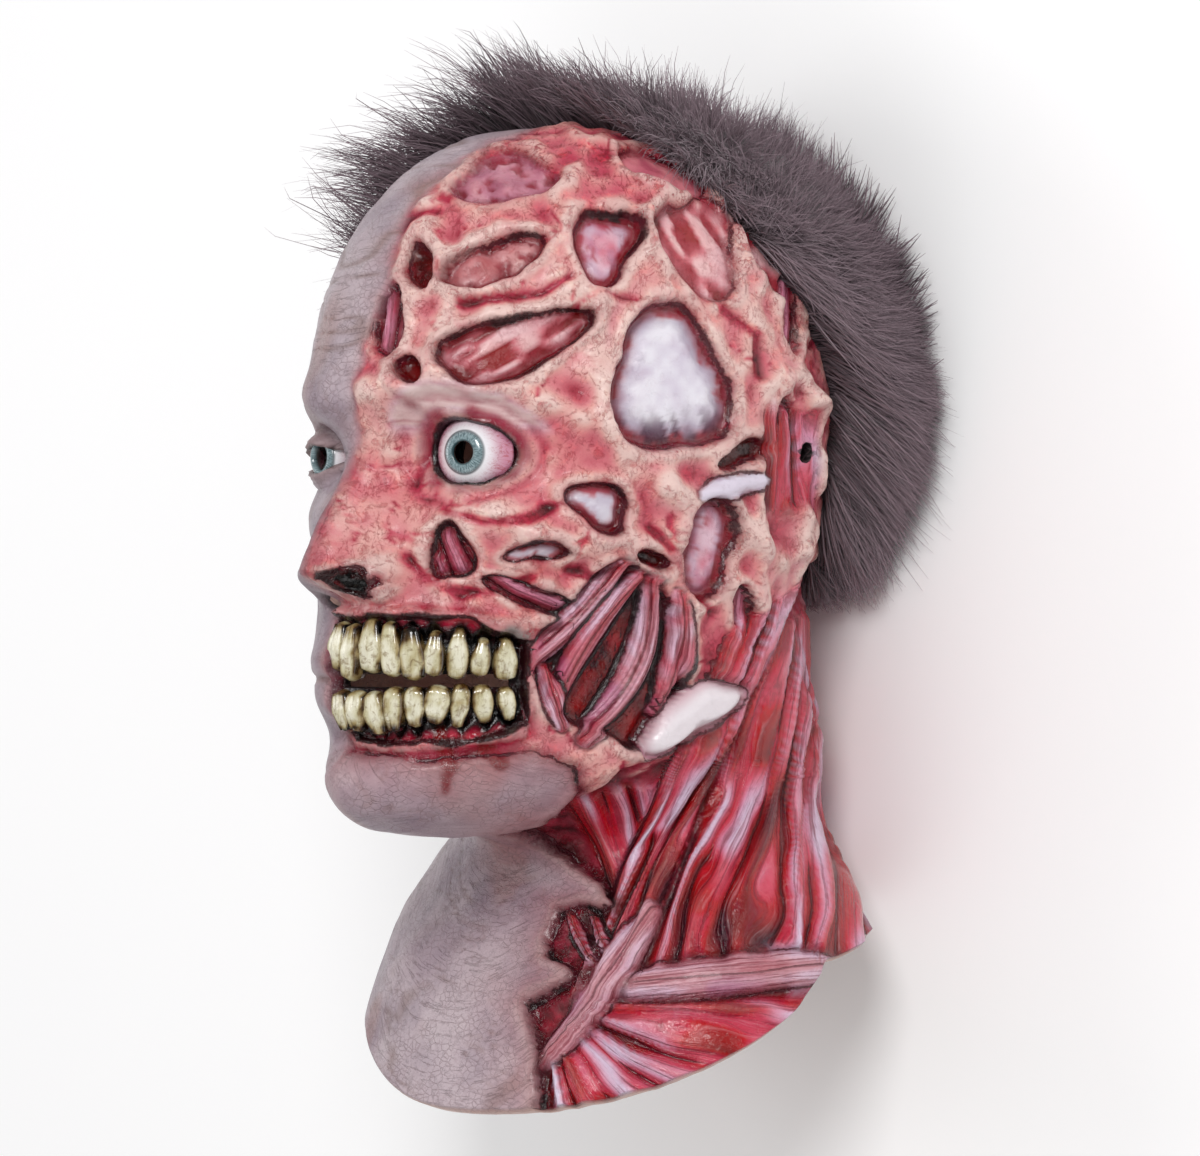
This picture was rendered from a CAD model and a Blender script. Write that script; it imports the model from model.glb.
"""Looks for a latex zombie mask that lies on its back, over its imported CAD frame.

The latex is one closed casting: its left half is flayed flesh and its right half grey skin. Teeth
and eyes are set in it, and a ruff of fur goes round the back of the head. Lengths in this file are
millimetres until a mesh is written, and the frame is the CAD's: +X the wearer's left, +Y the crown,
+Z the way the face looks.
"""

import math

import bmesh
import bpy
import numpy as np
from bpy.props import FloatProperty, FloatVectorProperty, IntProperty, PointerProperty
from mathutils import Matrix, Vector
from mathutils.bvhtree import BVHTree


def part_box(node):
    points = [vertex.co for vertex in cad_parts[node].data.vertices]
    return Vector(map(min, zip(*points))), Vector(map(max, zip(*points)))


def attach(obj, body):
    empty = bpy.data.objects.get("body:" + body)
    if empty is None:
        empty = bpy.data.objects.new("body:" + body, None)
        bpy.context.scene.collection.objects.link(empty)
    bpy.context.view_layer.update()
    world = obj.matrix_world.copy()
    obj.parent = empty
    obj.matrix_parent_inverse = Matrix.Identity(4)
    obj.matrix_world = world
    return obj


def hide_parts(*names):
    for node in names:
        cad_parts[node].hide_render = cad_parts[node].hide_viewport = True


bl_info = {
    "name": "Zombie Mask",
    "version": (1, 0, 0),
    "blender": (4, 5, 0),
    "location": "3D View > Sidebar > Mask",
    "description": "Builds a half-flayed latex mask with teeth, eyes and a fur hairpiece",
    "category": "Add Mesh",
}

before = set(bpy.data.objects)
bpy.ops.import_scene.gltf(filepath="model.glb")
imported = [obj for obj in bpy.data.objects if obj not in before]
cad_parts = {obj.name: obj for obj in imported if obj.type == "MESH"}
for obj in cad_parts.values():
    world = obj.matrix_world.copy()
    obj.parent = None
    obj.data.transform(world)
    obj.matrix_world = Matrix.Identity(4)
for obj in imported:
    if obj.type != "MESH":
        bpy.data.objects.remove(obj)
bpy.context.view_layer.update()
MM = 0.001
HAIR_LOW, HAIR_HIGH = (np.array(corner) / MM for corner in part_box("hairpiece"))

# The form of the head

# Loops round the mask from the crown to the edge of the bib: the front point (y, z), the side
# point (y, half width, z), the back point (y, z), and how the height falls from front to side on
# the left and on the right.
STATIONS = np.array(
    [
        (136, 102, 136, 0, 102, 136, 102, 2, 2),
        (136, 142, 133, 36, 104, 130, 66, 2, 2),
        (128, 174, 118, 63, 104, 110, 34, 2, 2),
        (107, 202, 92, 81, 104, 84, 14, 2, 2),
        (81, 220, 62, 90, 103, 54, 6, 2, 2),
        (53, 230, 33, 93, 102, 22, 4, 2, 2),
        (28, 234, 6, 91, 103, -8, 6, 2, 2),
        (4, 229, -19, 87, 106, -35, 11, 2, 2),
        (-22, 230, -42, 83, 108, -58, 14, 2, 2),
        (-48, 232, -63, 79, 108, -78, 14, 2, 2),
        (-74, 233, -82, 75, 106, -95, 13, 2, 2),
        (-100, 229, -97, 72, 102, -109, 11, 2, 2),
        (-124, 226, -108, 69, 97, -121, 9, 2, 2),
        (-138, 204, -114, 67, 91, -131, 7, 2, 2),
        (-141, 160, -122, 67, 86, -141, 6, 2, 2),
        (-152, 141, -133, 72, 83, -152, 5, 2, 2),
        (-180, 150, -148, 87, 85, -163, 4, 1.6, 1.8),
        (-212, 170, -167, 101, 87, -172, 2, 1, 1.5),
        (-247, 183, -189, 110, 88, -180, 0, 0.65, 1.4),
    ],
    float,
)
LAST = len(STATIONS) - 1
VIEW_TURN = math.radians(45)  # how far round from the front the flayed cheek faces
HEAD_CENTRE_Z = 120
FACE = {"brow": 27, "eye": 6, "eye_out": 38, "nose_tip": -39, "nose_base": -50, "mouth": -80, "chin": -122}
BITE_GAP = 5


def smooth(value, low, high):
    """A smooth way from 0 at low to 1 at high. Low is under high."""
    share = np.clip((value - low) / (high - low), 0, 1)
    return share * share * (3 - 2 * share)


def plateau(value, low, high, edge):
    """1 between low and high and 0 outside, with soft edges."""
    return smooth(value, low - edge, low + edge) * (1 - smooth(value, high - edge, high + edge))


def hump(x, y, at_x, at_y, wide, tall):
    """1 at a point, falling away round it."""
    return np.exp(-(((x - at_x) / wide) ** 2) - ((y - at_y) / tall) ** 2)


def bell(x, wide):
    """1 at 0, falling away to either side."""
    return np.exp(-((x / wide) ** 2))


def fade(off, length):
    """1 up to an edge, falling away beyond it."""
    return np.exp(-np.maximum(off, 0) / length)


def move_to(field, goal, share):
    """Changes a field by a share of the way to a goal."""
    field += (goal - field) * share


def heading_at(turn):
    """The level heading at a turn from straight ahead towards the wearer's left."""
    return np.array([math.sin(turn), 0, math.cos(turn)])


def loop_at(v):
    """The loops at places v along the mask, as smooth curves through the stations."""
    i = np.minimum(np.floor(v).astype(int), LAST - 1)
    t = (v - i)[..., None]
    a, b, c, d = (STATIONS[np.clip(i + k, 0, LAST)] for k in (-1, 0, 1, 2))
    slope_in, slope_out = (c - a) / 2, (d - b) / 2
    bend = 3 * (c - b) - 2 * slope_in - slope_out
    twist = slope_in + slope_out - 2 * (c - b)
    return b + slope_in * t + bend * t**2 + twist * t**3


def form(angle, v):
    """The smooth form: angle 0 is the front, and a quarter turn the wearer's left."""
    front_y, front_z, side_y, half, side_z, back_y, back_z, left, right = np.moveaxis(loop_at(v), -1, 0)
    c = np.cos(angle)
    end_y, end_z = np.where(c > 0, front_y, back_y), np.where(c > 0, front_z, back_z)
    fall = left + (right - left) * smooth(-np.sin(angle), -0.5, 0.5)
    y = side_y + (end_y - side_y) * np.abs(c) ** fall
    return np.stack([half * np.sin(angle), y, side_z + (end_z - side_z) * np.abs(c)], -1)


def outward_at(angle, v):
    """The smooth form's outward normals."""
    step = 0.01
    inside = np.clip(v, 0.05, LAST - step)
    along = form(angle, inside + step) - form(angle, inside - step)
    around = form(angle + step, inside) - form(angle - step, inside)
    normal = np.cross(along, around)
    return normal / np.linalg.norm(normal, axis=-1, keepdims=True)


def signed(angle):
    """The same angle between half a turn back and half a turn on."""
    return np.arctan2(np.sin(angle), np.cos(angle))


def face_relief(x, y):
    """How far the plain face stands out: along its normal, and straight forward."""
    out = np.abs(x)
    mouth = FACE["mouth"]
    along = (
        4 * hump(out, y, 28, FACE["brow"] + 2, 24, 10)
        - 11 * hump(out, y, FACE["eye_out"] - 3, FACE["eye"], 20, 14)
        + 6 * hump(out, y, 60, -20, 22, 15)
        + 6 * hump(x, y, 0, mouth + 2, 38, 24)
        + 3 * hump(x, y, 0, mouth + 8, 26, 5)
        + 3 * hump(x, y, 0, mouth - 8, 24, 6)
        - 5 * hump(x, y, 0, mouth - 24, 24, 7)
        + 7 * hump(x, y, 0, FACE["chin"], 26, 14)
        - 4 * hump(out, y, 60, -64, 17, 22)
        - 3 * hump(out, y, 74, 42, 20, 22)
    )
    rising = smooth(-y, -FACE["eye"] - 14, -FACE["nose_tip"])
    bridge = rising * (1 - smooth(-y, -FACE["nose_tip"] - 1, -FACE["nose_base"] + 3))
    half = 9 + 7 * smooth(-y, 0, -FACE["nose_tip"])
    forward = 25 * bridge * bell(x, half) + 8 * hump(out, y, 15, FACE["nose_tip"] - 4, 8, 8)
    return along, forward


def uncarved(angle, v, extra=0):
    """Points of the mask before any carving, moved outwards by extra, and their outward normals."""
    p = form(angle, v)
    n = outward_at(angle, v)
    is_face = smooth(n[..., 2], 0.1, 0.5) * smooth(p[..., 1], -146, -132)
    along, forward = face_relief(p[..., 0], p[..., 1])
    nape = 9 * hump(np.abs(signed(angle)), p[..., 1], math.radians(128), -112, 0.5, 36)
    p = p + n * (extra + along * is_face + nape)[..., None]
    p[..., 2] += forward * is_face
    return p, n


def across_of(p):
    """Distance towards the back of the head, on a plane square to the flayed cheek."""
    return p[..., 0] * math.cos(VIEW_TURN) - (p[..., 2] - HEAD_CENTRE_Z) * math.sin(VIEW_TURN)


# The carving of the flayed side, laid out on a plane square to the cheek: (across, up)

CARVING = 4.5  # how deep the hollow of the mouth goes
WALL = 3.2  # the latex behind the skin
BACKING = 4  # and how much thicker it is behind the flesh
CORNER_REACH = 0.13  # how far a window's corners stand out, in shares of its size
FIBRE = 6.5  # how wide the fibres on a window's floor are
LINING_ROWS = 44  # faces from the bib's edge up the inside to the crown

# Windows torn in the flesh: middle, half sizes, lean, how many corners and the bearing of the
# first, depth, kind of floor, bearing of its fibres, and how black its edge is inked.
WINDOWS = [
    ((-26, 79), (20, 9), 18, 2, 20, 4.2, "pitted", 18, 0.6),
    ((-54, 78), (4.5, 11), 12, 2, 0, 4.5, "pit", 80, 0.5),
    ((-66, 55), (6, 14), -6, 3, 90, 4, "fibre", 84, 0.7),
    ((16, 85), (12.5, 15.5), -4, 3, 268, 4.2, "veined", 90, 0.9),
    ((52, 87), (15, 21), 22, 3, 270, 2.4, "torn", -58, 0.2),
    ((-20, 46), (30, 12), 18, 3, 10, 4.5, "torn", 32, 1.5),
    ((76, 92), (9, 24), 24, 3, 250, 1.6, "torn", -62, 0.1),
    ((41, 33), (24, 29), 6, 3, 90, 4.5, "bone", -70, 0.5),
    ((13, -14), (12, 8.5), -24, 3, 190, 4, "bone", 0, 1),
    ((-42, -32), (9, 11), 8, 3, 90, 4.5, "fibre", -68, 1.4),
    ((56, -30), (11, 18), -10, 2, 90, 4.5, "veined", -75, 0.6),
    ((87, 8), (6, 19), 4, 2, 90, 4.5, "fibre", 88, 0.3),
    ((70, -56), (5, 13), 10, 2, 90, 4, "fibre", 82, 0.6),
    ((20, -73), (29, 34), 12, 3, 60, 4.5, "cheek", -120, 1.8),
    ((-22, 112), (21, 11), 6, 3, 90, 1.6, "lumps", 0, 0.1),
    ((37, 116), (17, 8), -20, 2, 0, 2, "smooth", 0, 0.3),
    ((-57, 37), (4.5, 5.5), 20, 0, 0, 3.5, "pit", 0, 0.4),
    ((88, 62), (4.5, 14), 4, 2, 90, 3, "fibre", 88, 0.2),
    ((-10, -31), (12, 4.6), 8, 3, 200, 2.6, "bone", 12, 1.2),
    ((34, -34), (6, 4), -20, 2, 0, 4, "pit", 0, 0.6),
    ((-12, -48), (18, 5.5), -20, 2, 0, 3.6, "fibre", -24, 0.9),
    ((70, 7), (11, 5), 24, 3, 200, 4.5, "pit", 20, 0.5),
]

# The kinds of floor: how far it swells up in the middle, in shares of the depth, how flecked it is,
# and its colours from its darkest tone to its palest.
FLOORS = {
    "bone": (0.75, 0.06, [(0.3, "#B49098"), (0.55, "#D6D0D6"), (0.8, "#EFEFEE")]),
    "veined": (0.4, 0.3, [(0.3, "#B3474F"), (0.5, "#D6979B"), (0.75, "#E9CFCB")]),
    "smooth": (0.4, 0.2, [(0.3, "#B4616A"), (0.55, "#D58C8A"), (0.8, "#E6B5AA")]),
    "pitted": (0.4, 0.45, [(0.3, "#B06A66"), (0.5, "#D0A096"), (0.75, "#E2C2B2")]),
    "lumps": (0, 0.45, [(0.25, "#9A5A68"), (0.5, "#C58F93"), (0.75, "#DDB4AC")]),
    "torn": (0, 0.45, [(0.2, "#8E1E2A"), (0.5, "#D08684"), (0.85, "#ECCABE")]),
    "fibre": (0.36, 0.45, [(0.05, "#560D1A"), (0.4, "#AC3F50"), (0.85, "#DDA0AA")]),
    "cheek": (0, 0.45, [(0.32, "#24060C"), (0.5, "#6A0F1A"), (0.8, "#A0202C")]),
    "pit": (0, 0.45, [(0.3, "#2A0608"), (0.55, "#6E141B"), (0.8, "#96262C")]),
}

# Raised strands of muscle, tendon and bone: the two ends, half width, height, sideways bow in the
# middle, how many finer strands show on it, its colour, and how black its edges are inked.
STRANDS = [
    ((52, -9), (76, -3), 4.5, 3.4, 0, 1, "bone", 0.5),
    ((22, -37), (-15, -75), 6.2, 4.2, 2, 3, "pale", 0.9),
    ((29, -41), (-3, -90), 5.4, 4, -3, 2, "pink", 0.9),
    ((34, -43), (7, -102), 6, 5.2, 9, 3, "pale", 1),
    ((43, -47), (36, -94), 4.4, 3.2, 4, 2, "pink", 0.9),
    ((-7, -76), (-1, -97), 4.5, 3.4, 0, 2, "pink", 0.7),
    ((2, -172), (12, -190), 3, 2.6, -1, 2, "red", 0.8),
    ((10, -170), (18, -188), 3, 2.8, 0, 2, "red", 0.8),
    ((14, -199), (113, -191), 7.5, 4, 2, 2, "tendon", 0.2),
    ((34, -170), (-9, -228), 6.5, 4.6, 2, 2, "tendon", 0.25),
]

# Sheets of strands that fan between two lines: the first strand's ends, the last strand's ends,
# how many strands, how deep the valleys between them are, how black those are inked, how far the
# sheet stands out, and how pale it is.
SHEETS = {
    "throat": (((0, -128), (20, -168)), ((44, -118), (40, -140)), 3, 3.4, 0.8, 0, 0.5),
    "collar": (((14, -204), (118, -199)), ((-6, -222), (-2, -282)), 6, 4.6, 0.6, 0.5, 0.48),
    "nape": (((104, -54), (118, -184)), ((196, -66), (236, -166)), 6, 3, 0.5, 0, 0.44),
    "side": (((84, -58), (30, -188)), ((114, -50), (124, -186)), 6, 4, 0.8, -0.5, 0.43),
    "band": (((62, -62), (2, -200)), ((94, -40), (28, -188)), 3, 3.6, 0.9, 2.2, 0.48),
    "ear": (((76, 26), (76, -14)), ((98, 26), (98, -14)), 3, 2.2, 0.7, 0, 0.42),
}
SHEET_COLOURS = [
    (0, "#32081A"),
    (0.2, "#801322"),
    (0.4, "#B8303C"),
    (0.56, "#CE646E"),
    (0.7, "#DAA2AC"),
    (0.84, "#DCCAD0"),
    (1, "#F0E8EA"),
]

# Ridges of the web between the windows: their corners, half width and height. Then creases torn in it.
RIDGES = [
    ([(-72, 30), (-46, 33), (-12, 28), (12, 16)], 6, 2.6),
    ([(12, 62), (12, 34), (22, 4), (40, -8)], 6, 2.2),
    ([(-38, -14), (-8, -24), (16, -30), (44, -22)], 6, 2.6),
    ([(40, -8), (62, -16), (82, -34)], 6, 2.4),
    ([(78, 32), (78, 0), (74, -34), (80, -66)], 4, 2.6),
    ([(97, 28), (98, 0), (92, -30)], 4, 3.4),
    ([(84, 34), (90, 38), (97, 28)], 4, 3.2),
    ([(72, -74), (56, -88), (30, -106), (-4, -112)], 7, 2.6),
    ([(-52, 100), (-40, 66), (-46, 40)], 5, 1.8),
    ([(2, 133), (8, 121), (0, 104), (-2, 70), (14, 62)], 5, 2),
    ([(34, 108), (33, 84), (38, 66)], 5, 1.8),
    ([(66, 112), (74, 70), (72, 40)], 5, 1.8),
    ([(14, 128), (24, 108), (52, 116)], 4, 1.8),
    ([(50, -44), (48, -70), (34, -98)], 5, 2.4),
    ([(-10, -46), (-2, -60), (-4, -78)], 4, 2),
]
GROOVES = [
    [(-44, -16), (-30, -20), (-12, -19), (2, -12)],
    [(-58, -34), (-50, -42), (-38, -47), (-26, -46), (-12, -41)],
    [(-60, 26), (-52, 20), (-50, 6), (-56, -6)],
    [(2, -38), (12, -41), (20, -36)],
    [(32, -22), (42, -32), (46, -44), (56, -54)],
    [(4, 60), (12, 66), (28, 64)],
    [(-38, 62), (-30, 64), (-8, 66), (2, 72)],
    [(62, 62), (74, 52), (76, 36)],
    [(56, -84), (44, -104), (20, -118)],
    [(-70, 84), (-60, 96), (-48, 98)],
]
# A pale gland under the jaw: middle, half sizes, lean and height. Then the jaw's lower edge, under
# which the neck lies deeper.
TEARDROP = ((49, -94), (22, 8.5), 33, 5)
JAW_LINE = [(-120, -128), (-36, -134), (8, -122), (40, -108), (64, -84), (84, -60), (96, -34), (230, -30)]

# Grey skin is left on the chin, the throat and the right half of the bib, inside this torn edge.
TORN_EDGE = [
    (-190, -106), (-86, -108), (-40, -110), (-14, -108), (2, -112), (6, -122), (-2, -133), (-24, -139),
    (-6, -146), (15, -160), (20, -169), (-2, -171), (-6, -189), (6, -194), (-13, -207), (-10, -222),
    (-7, -275), (-190, -275),
]  # fmt: skip
# Runs of red down the throat.
DRIPS = [[(-46, -104), (-43, -113), (-44, -121)], [(-30, -106), (-24, -111)]]
# Above the mouth the skin ends near the middle line: heights on the mask, and distances from it.
SKIN_HEIGHTS = (-104, -60, -44, -20, 4, 30, 60, 100, 136)
SKIN_ENDS = (-8, -6, -1, 0, 1, 4, 7, 9, 12)

DEGREE = 1.6  # the width of a degree round the cheek
MOUTH = {"from": -4, "to": 46, "bottom": -103, "top": -56}  # degrees round, then heights
TEETH_FROM, TEETH_TO = -2, 42
# The rows of teeth: how many, their height, the row's bow and a tooth's half sizes.
TEETH = [(9, -68, -4, (4.9, 9.5, 4.8)), (9, -91.5, 3.5, (4.9, 8.2, 4.8))]
# The eyes: middle, radius, and how many degrees round from straight ahead each looks.
EYES = {
    "bare": {"at": (FACE["eye_out"], FACE["eye"], 201), "radius": 17, "look": 20},
    "lidded": {"at": (-FACE["eye_out"], FACE["eye"], 200), "radius": 15.5, "look": -8},
}
PUPIL = 4.2

INK = "#120407"
MIXED = 0.84  # how much deeper the paint is mixed than it looks in the studio's light
VIVID = 1.28  # how much stronger the reds of the flesh are than their swatches
TINGE = np.array([(1, 0.93, 1.18), (1.02, 0.98, 1.08)])  # of the flesh in its hollows and on its ridges
STRAND_COLOURS = {
    "bone": "#E2DDE2",
    "tendon": "#DCAEAC",
    "pale": "#DCA8AA",
    "pink": "#D07A80",
    "red": "#B03348",
}


def rgb(code):
    """A hexadecimal colour as linear red, green and blue."""
    parts = np.array([int(code[k : k + 2], 16) / 255 for k in (1, 3, 5)])
    return np.where(parts <= 0.04045, parts / 12.92, ((parts + 0.055) / 1.055) ** 2.4)


def ramp(tone, stops):
    """Colours read off a row of (place, hexadecimal colour) stops."""
    places = [place for place, _ in stops]
    codes = np.array([rgb(code) for _, code in stops])
    return np.stack([np.interp(tone, places, codes[:, k]) for k in range(3)], -1)


# The flesh, the skin, the latex inside and the teeth, from their darkest tones to their palest.
FLESH = [
    (0, "#1A0409"),
    (0.2, "#54101C"),
    (0.38, "#962C3C"),
    (0.54, "#BE5560"),
    (0.7, "#D48A86"),
    (0.86, "#E2B2A6"),
    (1, "#EFD2C4"),
]
SKIN = [(0.2, "#8E7C8B"), (0.45, "#AF9DA8"), (0.65, "#C4B1B9"), (0.9, "#D4C3C8")]
RAW_LATEX = [(0, "#C99A8E"), (1, "#DDB9AC")]
ENAMEL = [(0, "#0C0806"), (0.22, "#5A3C18"), (0.42, "#B09A68"), (0.62, "#D6CEA8"), (0.9, "#F4EFD8")]


def lumps(size, seed, *axes):
    """Soft random lumps from about -1 to 1, as wide as size, over two or three coordinates."""
    side = 32
    lattice = np.random.default_rng(seed).uniform(-1.4, 1.4, (side,) * len(axes))
    corners = [(1.0, ())]
    for axis in axes:
        place = axis / size + 500.37
        cell = np.floor(place).astype(int)
        share = (place - cell) ** 2 * (3 - 2 * (place - cell))
        corners = [
            (weight * part, cells + ((cell + step) % side,))
            for weight, cells in corners
            for step, part in ((0, 1 - share), (1, share))
        ]
    return sum(weight * lattice[cells] for weight, cells in corners)


def edge_distance(x, y, points, closed=False):
    """Distance from a chain of points, and for a closed one under 0 inside it."""
    ends = points[1:] + points[:1] if closed else points[1:]
    nearest = np.full(np.shape(x), 1e9)
    inside = np.zeros(np.shape(x), bool)
    for (ax, ay), (bx, by) in zip(points, ends):
        dx, dy = bx - ax, by - ay
        share = np.clip(((x - ax) * dx + (y - ay) * dy) / (dx * dx + dy * dy), 0, 1)
        nearest = np.minimum(nearest, np.hypot(x - ax - share * dx, y - ay - share * dy))
        if closed and dy:
            crossing = ((ay > y) != (by > y)) & (x < ax + (y - ay) * dx / dy)
            inside ^= crossing
    return np.where(inside, -nearest, nearest) if closed else nearest


def blurred(field, passes):
    """A field on the grid, softened along its rows and round its columns."""
    for _ in range(passes):
        field = (np.roll(field, 1, 1) + 2 * field + np.roll(field, -1, 1)) / 4
        padded = np.pad(field, ((1, 1), (0, 0)), "edge")
        field = (padded[:-2] + 2 * padded[1:-1] + padded[2:]) / 4
    return field


class Coat:
    """The carving and the paint of the outer skin, with one value for each point of its grid."""

    WRAP = math.radians(82)  # past this turn from the cheek, across grows with the way round instead
    BACK_RADIUS = 88
    FAR = 3.0

    def __init__(self, angle, v):
        self.angle = signed(angle)
        self.place, self.outward = uncarved(angle, v)
        self.x, self.up, self.z = np.moveaxis(self.place, -1, 0)
        away = signed(angle - VIEW_TURN)
        kept = np.minimum(away, self.WRAP)
        self.across = across_of(uncarved(VIEW_TURN + kept, v)[0]) + self.BACK_RADIUS * (away - kept)
        shape = self.x.shape
        self.height = np.zeros(shape)
        self.wet = np.full(shape, 0.15)
        self.colour = np.zeros(shape + (3,))  # what is painted so far, as far as cover says
        self.cover = np.zeros(shape)
        self.grain = np.zeros(shape + (3,))
        self.rim = np.full(shape, self.FAR)  # signed distance from the nearest inked edge
        self.ink = np.zeros(shape)
        self.lane = np.zeros(shape + (3,))  # places over a sheet in strands, their width, their ink
        self.crust = np.ones(shape)  # how rough and flecked the flesh is, or how lined the skin

    def lumps(self, size, seed):
        """Soft noise over the mask, from about -1 to 1."""
        return lumps(size, seed, self.x, self.up, self.z)

    def tint(self, colour, share):
        """Paints a share of a colour over what is there."""
        colour = rgb(colour) if isinstance(colour, str) else colour
        share = np.clip(share, 0, 1)
        self.colour += (colour - self.colour) * share[..., None]
        self.cover += (1 - self.cover) * share

    def comb(self, near, beside, along, lane=0.0, width=9.0, ink=0.0):
        """Fibres run along a strand where near, 1 on it and 0 well off it, is over a half: distances
        beside it and along it, and the strands that it splits into."""
        shown = smooth(near, 0.5, 0.95)
        fading = 1 - smooth(near, 0, 0.4)
        own = (near > 0.45)[..., None]
        for field, parts in ((self.grain, (beside, along, shown)), (self.lane, (lane, width, ink * shown))):
            field[..., 2] *= fading
            rows = np.stack([part + np.zeros_like(near) for part in parts], -1)
            np.copyto(field, rows, where=own)

    def edge(self, off, ink):
        """An inked edge where off, the distance outwards from it, is 0."""
        ink = ink * (0.35 + 0.65 * smooth(self.lumps(12, 29) + 0.4 * self.lumps(5, 28), -0.5, 0.3))
        own = (off < 0) | (np.abs(off) < np.abs(self.rim))
        self.rim = np.where(own, np.clip(off, -self.FAR, self.FAR), self.rim)
        self.ink = np.where(own, ink, self.ink)

    def outline(self, middle, half, lean, corners=0, first=0, ragged=0.0):
        """Distance from a window's outline, under 0 inside it, and places along and across it."""
        turn = math.radians(lean)
        dx, dy = self.across - middle[0], self.up - middle[1]
        u = dx * math.cos(turn) + dy * math.sin(turn)
        w = dy * math.cos(turn) - dx * math.sin(turn)
        bearing = np.arctan2(w / half[1], u / half[0])
        reach = 1 + CORNER_REACH * np.cos(corners * (bearing - math.radians(first)))
        size = np.maximum(np.hypot(u / half[0], w / half[1]) / reach, 1e-3)
        return np.hypot(u, w) * (1 - 1 / size) + ragged, u, w

    def strand(self, start, end, half, bow):
        """How far along a strand each point is, 0 to 1, and how far beside it in half widths."""
        dx, dy = end[0] - start[0], end[1] - start[1]
        length = math.hypot(dx, dy)
        rx, ry = self.across - start[0], self.up - start[1]
        along = (rx * dx + ry * dy) / length**2
        share = np.clip(along, 0, 1)
        beside = (ry * dx - rx * dy) / length - bow * 4 * share * (1 - share)
        beyond = (along - share) * length
        reach = half * (0.3 + 0.7 * np.sin(math.pi * (0.07 + 0.86 * share)) ** 0.7)
        return share, np.hypot(beside, beyond) / reach, beside, along * length, reach

    def lay_strand(self, start, end, half, height, bow, finer, colour, ink):
        """A strand of muscle or bone, proud of the floor under it and dark along its edges."""
        share, away, beside, along, reach = self.strand(start, end, half, bow)
        away = away + 0.12 * lumps(12, 7, along, beside)
        body = smooth(-away, -1, -0.7)
        arch = smooth(-away, -1.08, -0.05)
        lane = (beside / half * 0.5 + 0.5) * finer + 0.2 * lumps(22, 11, along, beside)
        ribs = 0.5 - 0.5 * np.cos(2 * math.pi * lane)
        self.height += (height * (0.78 + 0.22 * ribs) - 0.65 * self.height) * arch
        self.tint(STRAND_COLOURS[colour], body)
        if colour != "bone":
            reds = 0.45 if colour == "tendon" else 1
            streak = lumps(1, 5, 2.2 * lane, along / 24)
            self.tint("#84121F", body * smooth(-ribs, -0.5, 0) * 0.85 * reds)
            self.tint("#F2DEE0", body * smooth(ribs + 0.5 * streak, 0.7, 1.2) * 0.8)
            self.tint("#A81A2A", body * smooth(-streak, 0, 0.8) * 0.7 * reds)
            self.tint("#A878A0", body * smooth(lumps(17, 6, along, beside), 0.4, 0.9) * 0.3)
        foot = smooth(away, 0.62, 1) * (1 - smooth(away, 1.05, 1.4))
        self.tint("#4A0916", foot * (0.35 + 0.5 * min(2 * ink, 1)))
        near = smooth((away - 1) * -reach, -3, 3)
        self.comb(near * (1 if colour != "bone" else 0.3), beside, along, lane, 2 * half / finer, 0.22)
        self.edge((away - 1) * reach, ink * plateau(share, 0.06, 0.94, 0.08))
        move_to(self.crust, 0.05 if colour == "bone" else 0.2, body)
        move_to(self.wet, 0.62, body * 0.8)

    def base_flesh(self):
        """The web of flesh: soft folds, fine creases and the ridges between the windows."""
        rough = smooth(self.up + 0.35 * self.across, 84, 116) + smooth(self.across, 84, 104)
        folds = 1.1 * self.lumps(17, 21) + 0.75 * self.lumps(8, 22)
        folds = folds + (0.4 + 0.35 * rough) * self.lumps(4.5, 23)
        self.crust += 0.7 * rough
        raw = smooth(self.across + 0.4 * self.up, 92, 112) * smooth(self.up, 20, 50)
        folds = folds - 1.1 * raw * smooth(self.lumps(4, 18), 0.2, 0.7)
        crease = smooth(-np.abs(self.lumps(15, 24) + 0.4 * self.lumps(6, 25)), -0.12, 0)
        crease = crease * smooth(self.lumps(19, 27), -0.1, 0.5)
        self.height += folds - 0.7 * crease
        for corners, half, height in RIDGES:
            away = edge_distance(self.across, self.up, corners) + 1.2 * self.lumps(9, 26)
            self.height += 1.55 * height * bell(away, half)
        for corners in GROOVES:
            away = edge_distance(self.across, self.up, corners) + 0.9 * self.lumps(6, 30)
            self.height -= 2 * bell(away, 1.9)
            crease = np.maximum(crease, 1.5 * bell(away, 1.7))
        self.creases = crease

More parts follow.
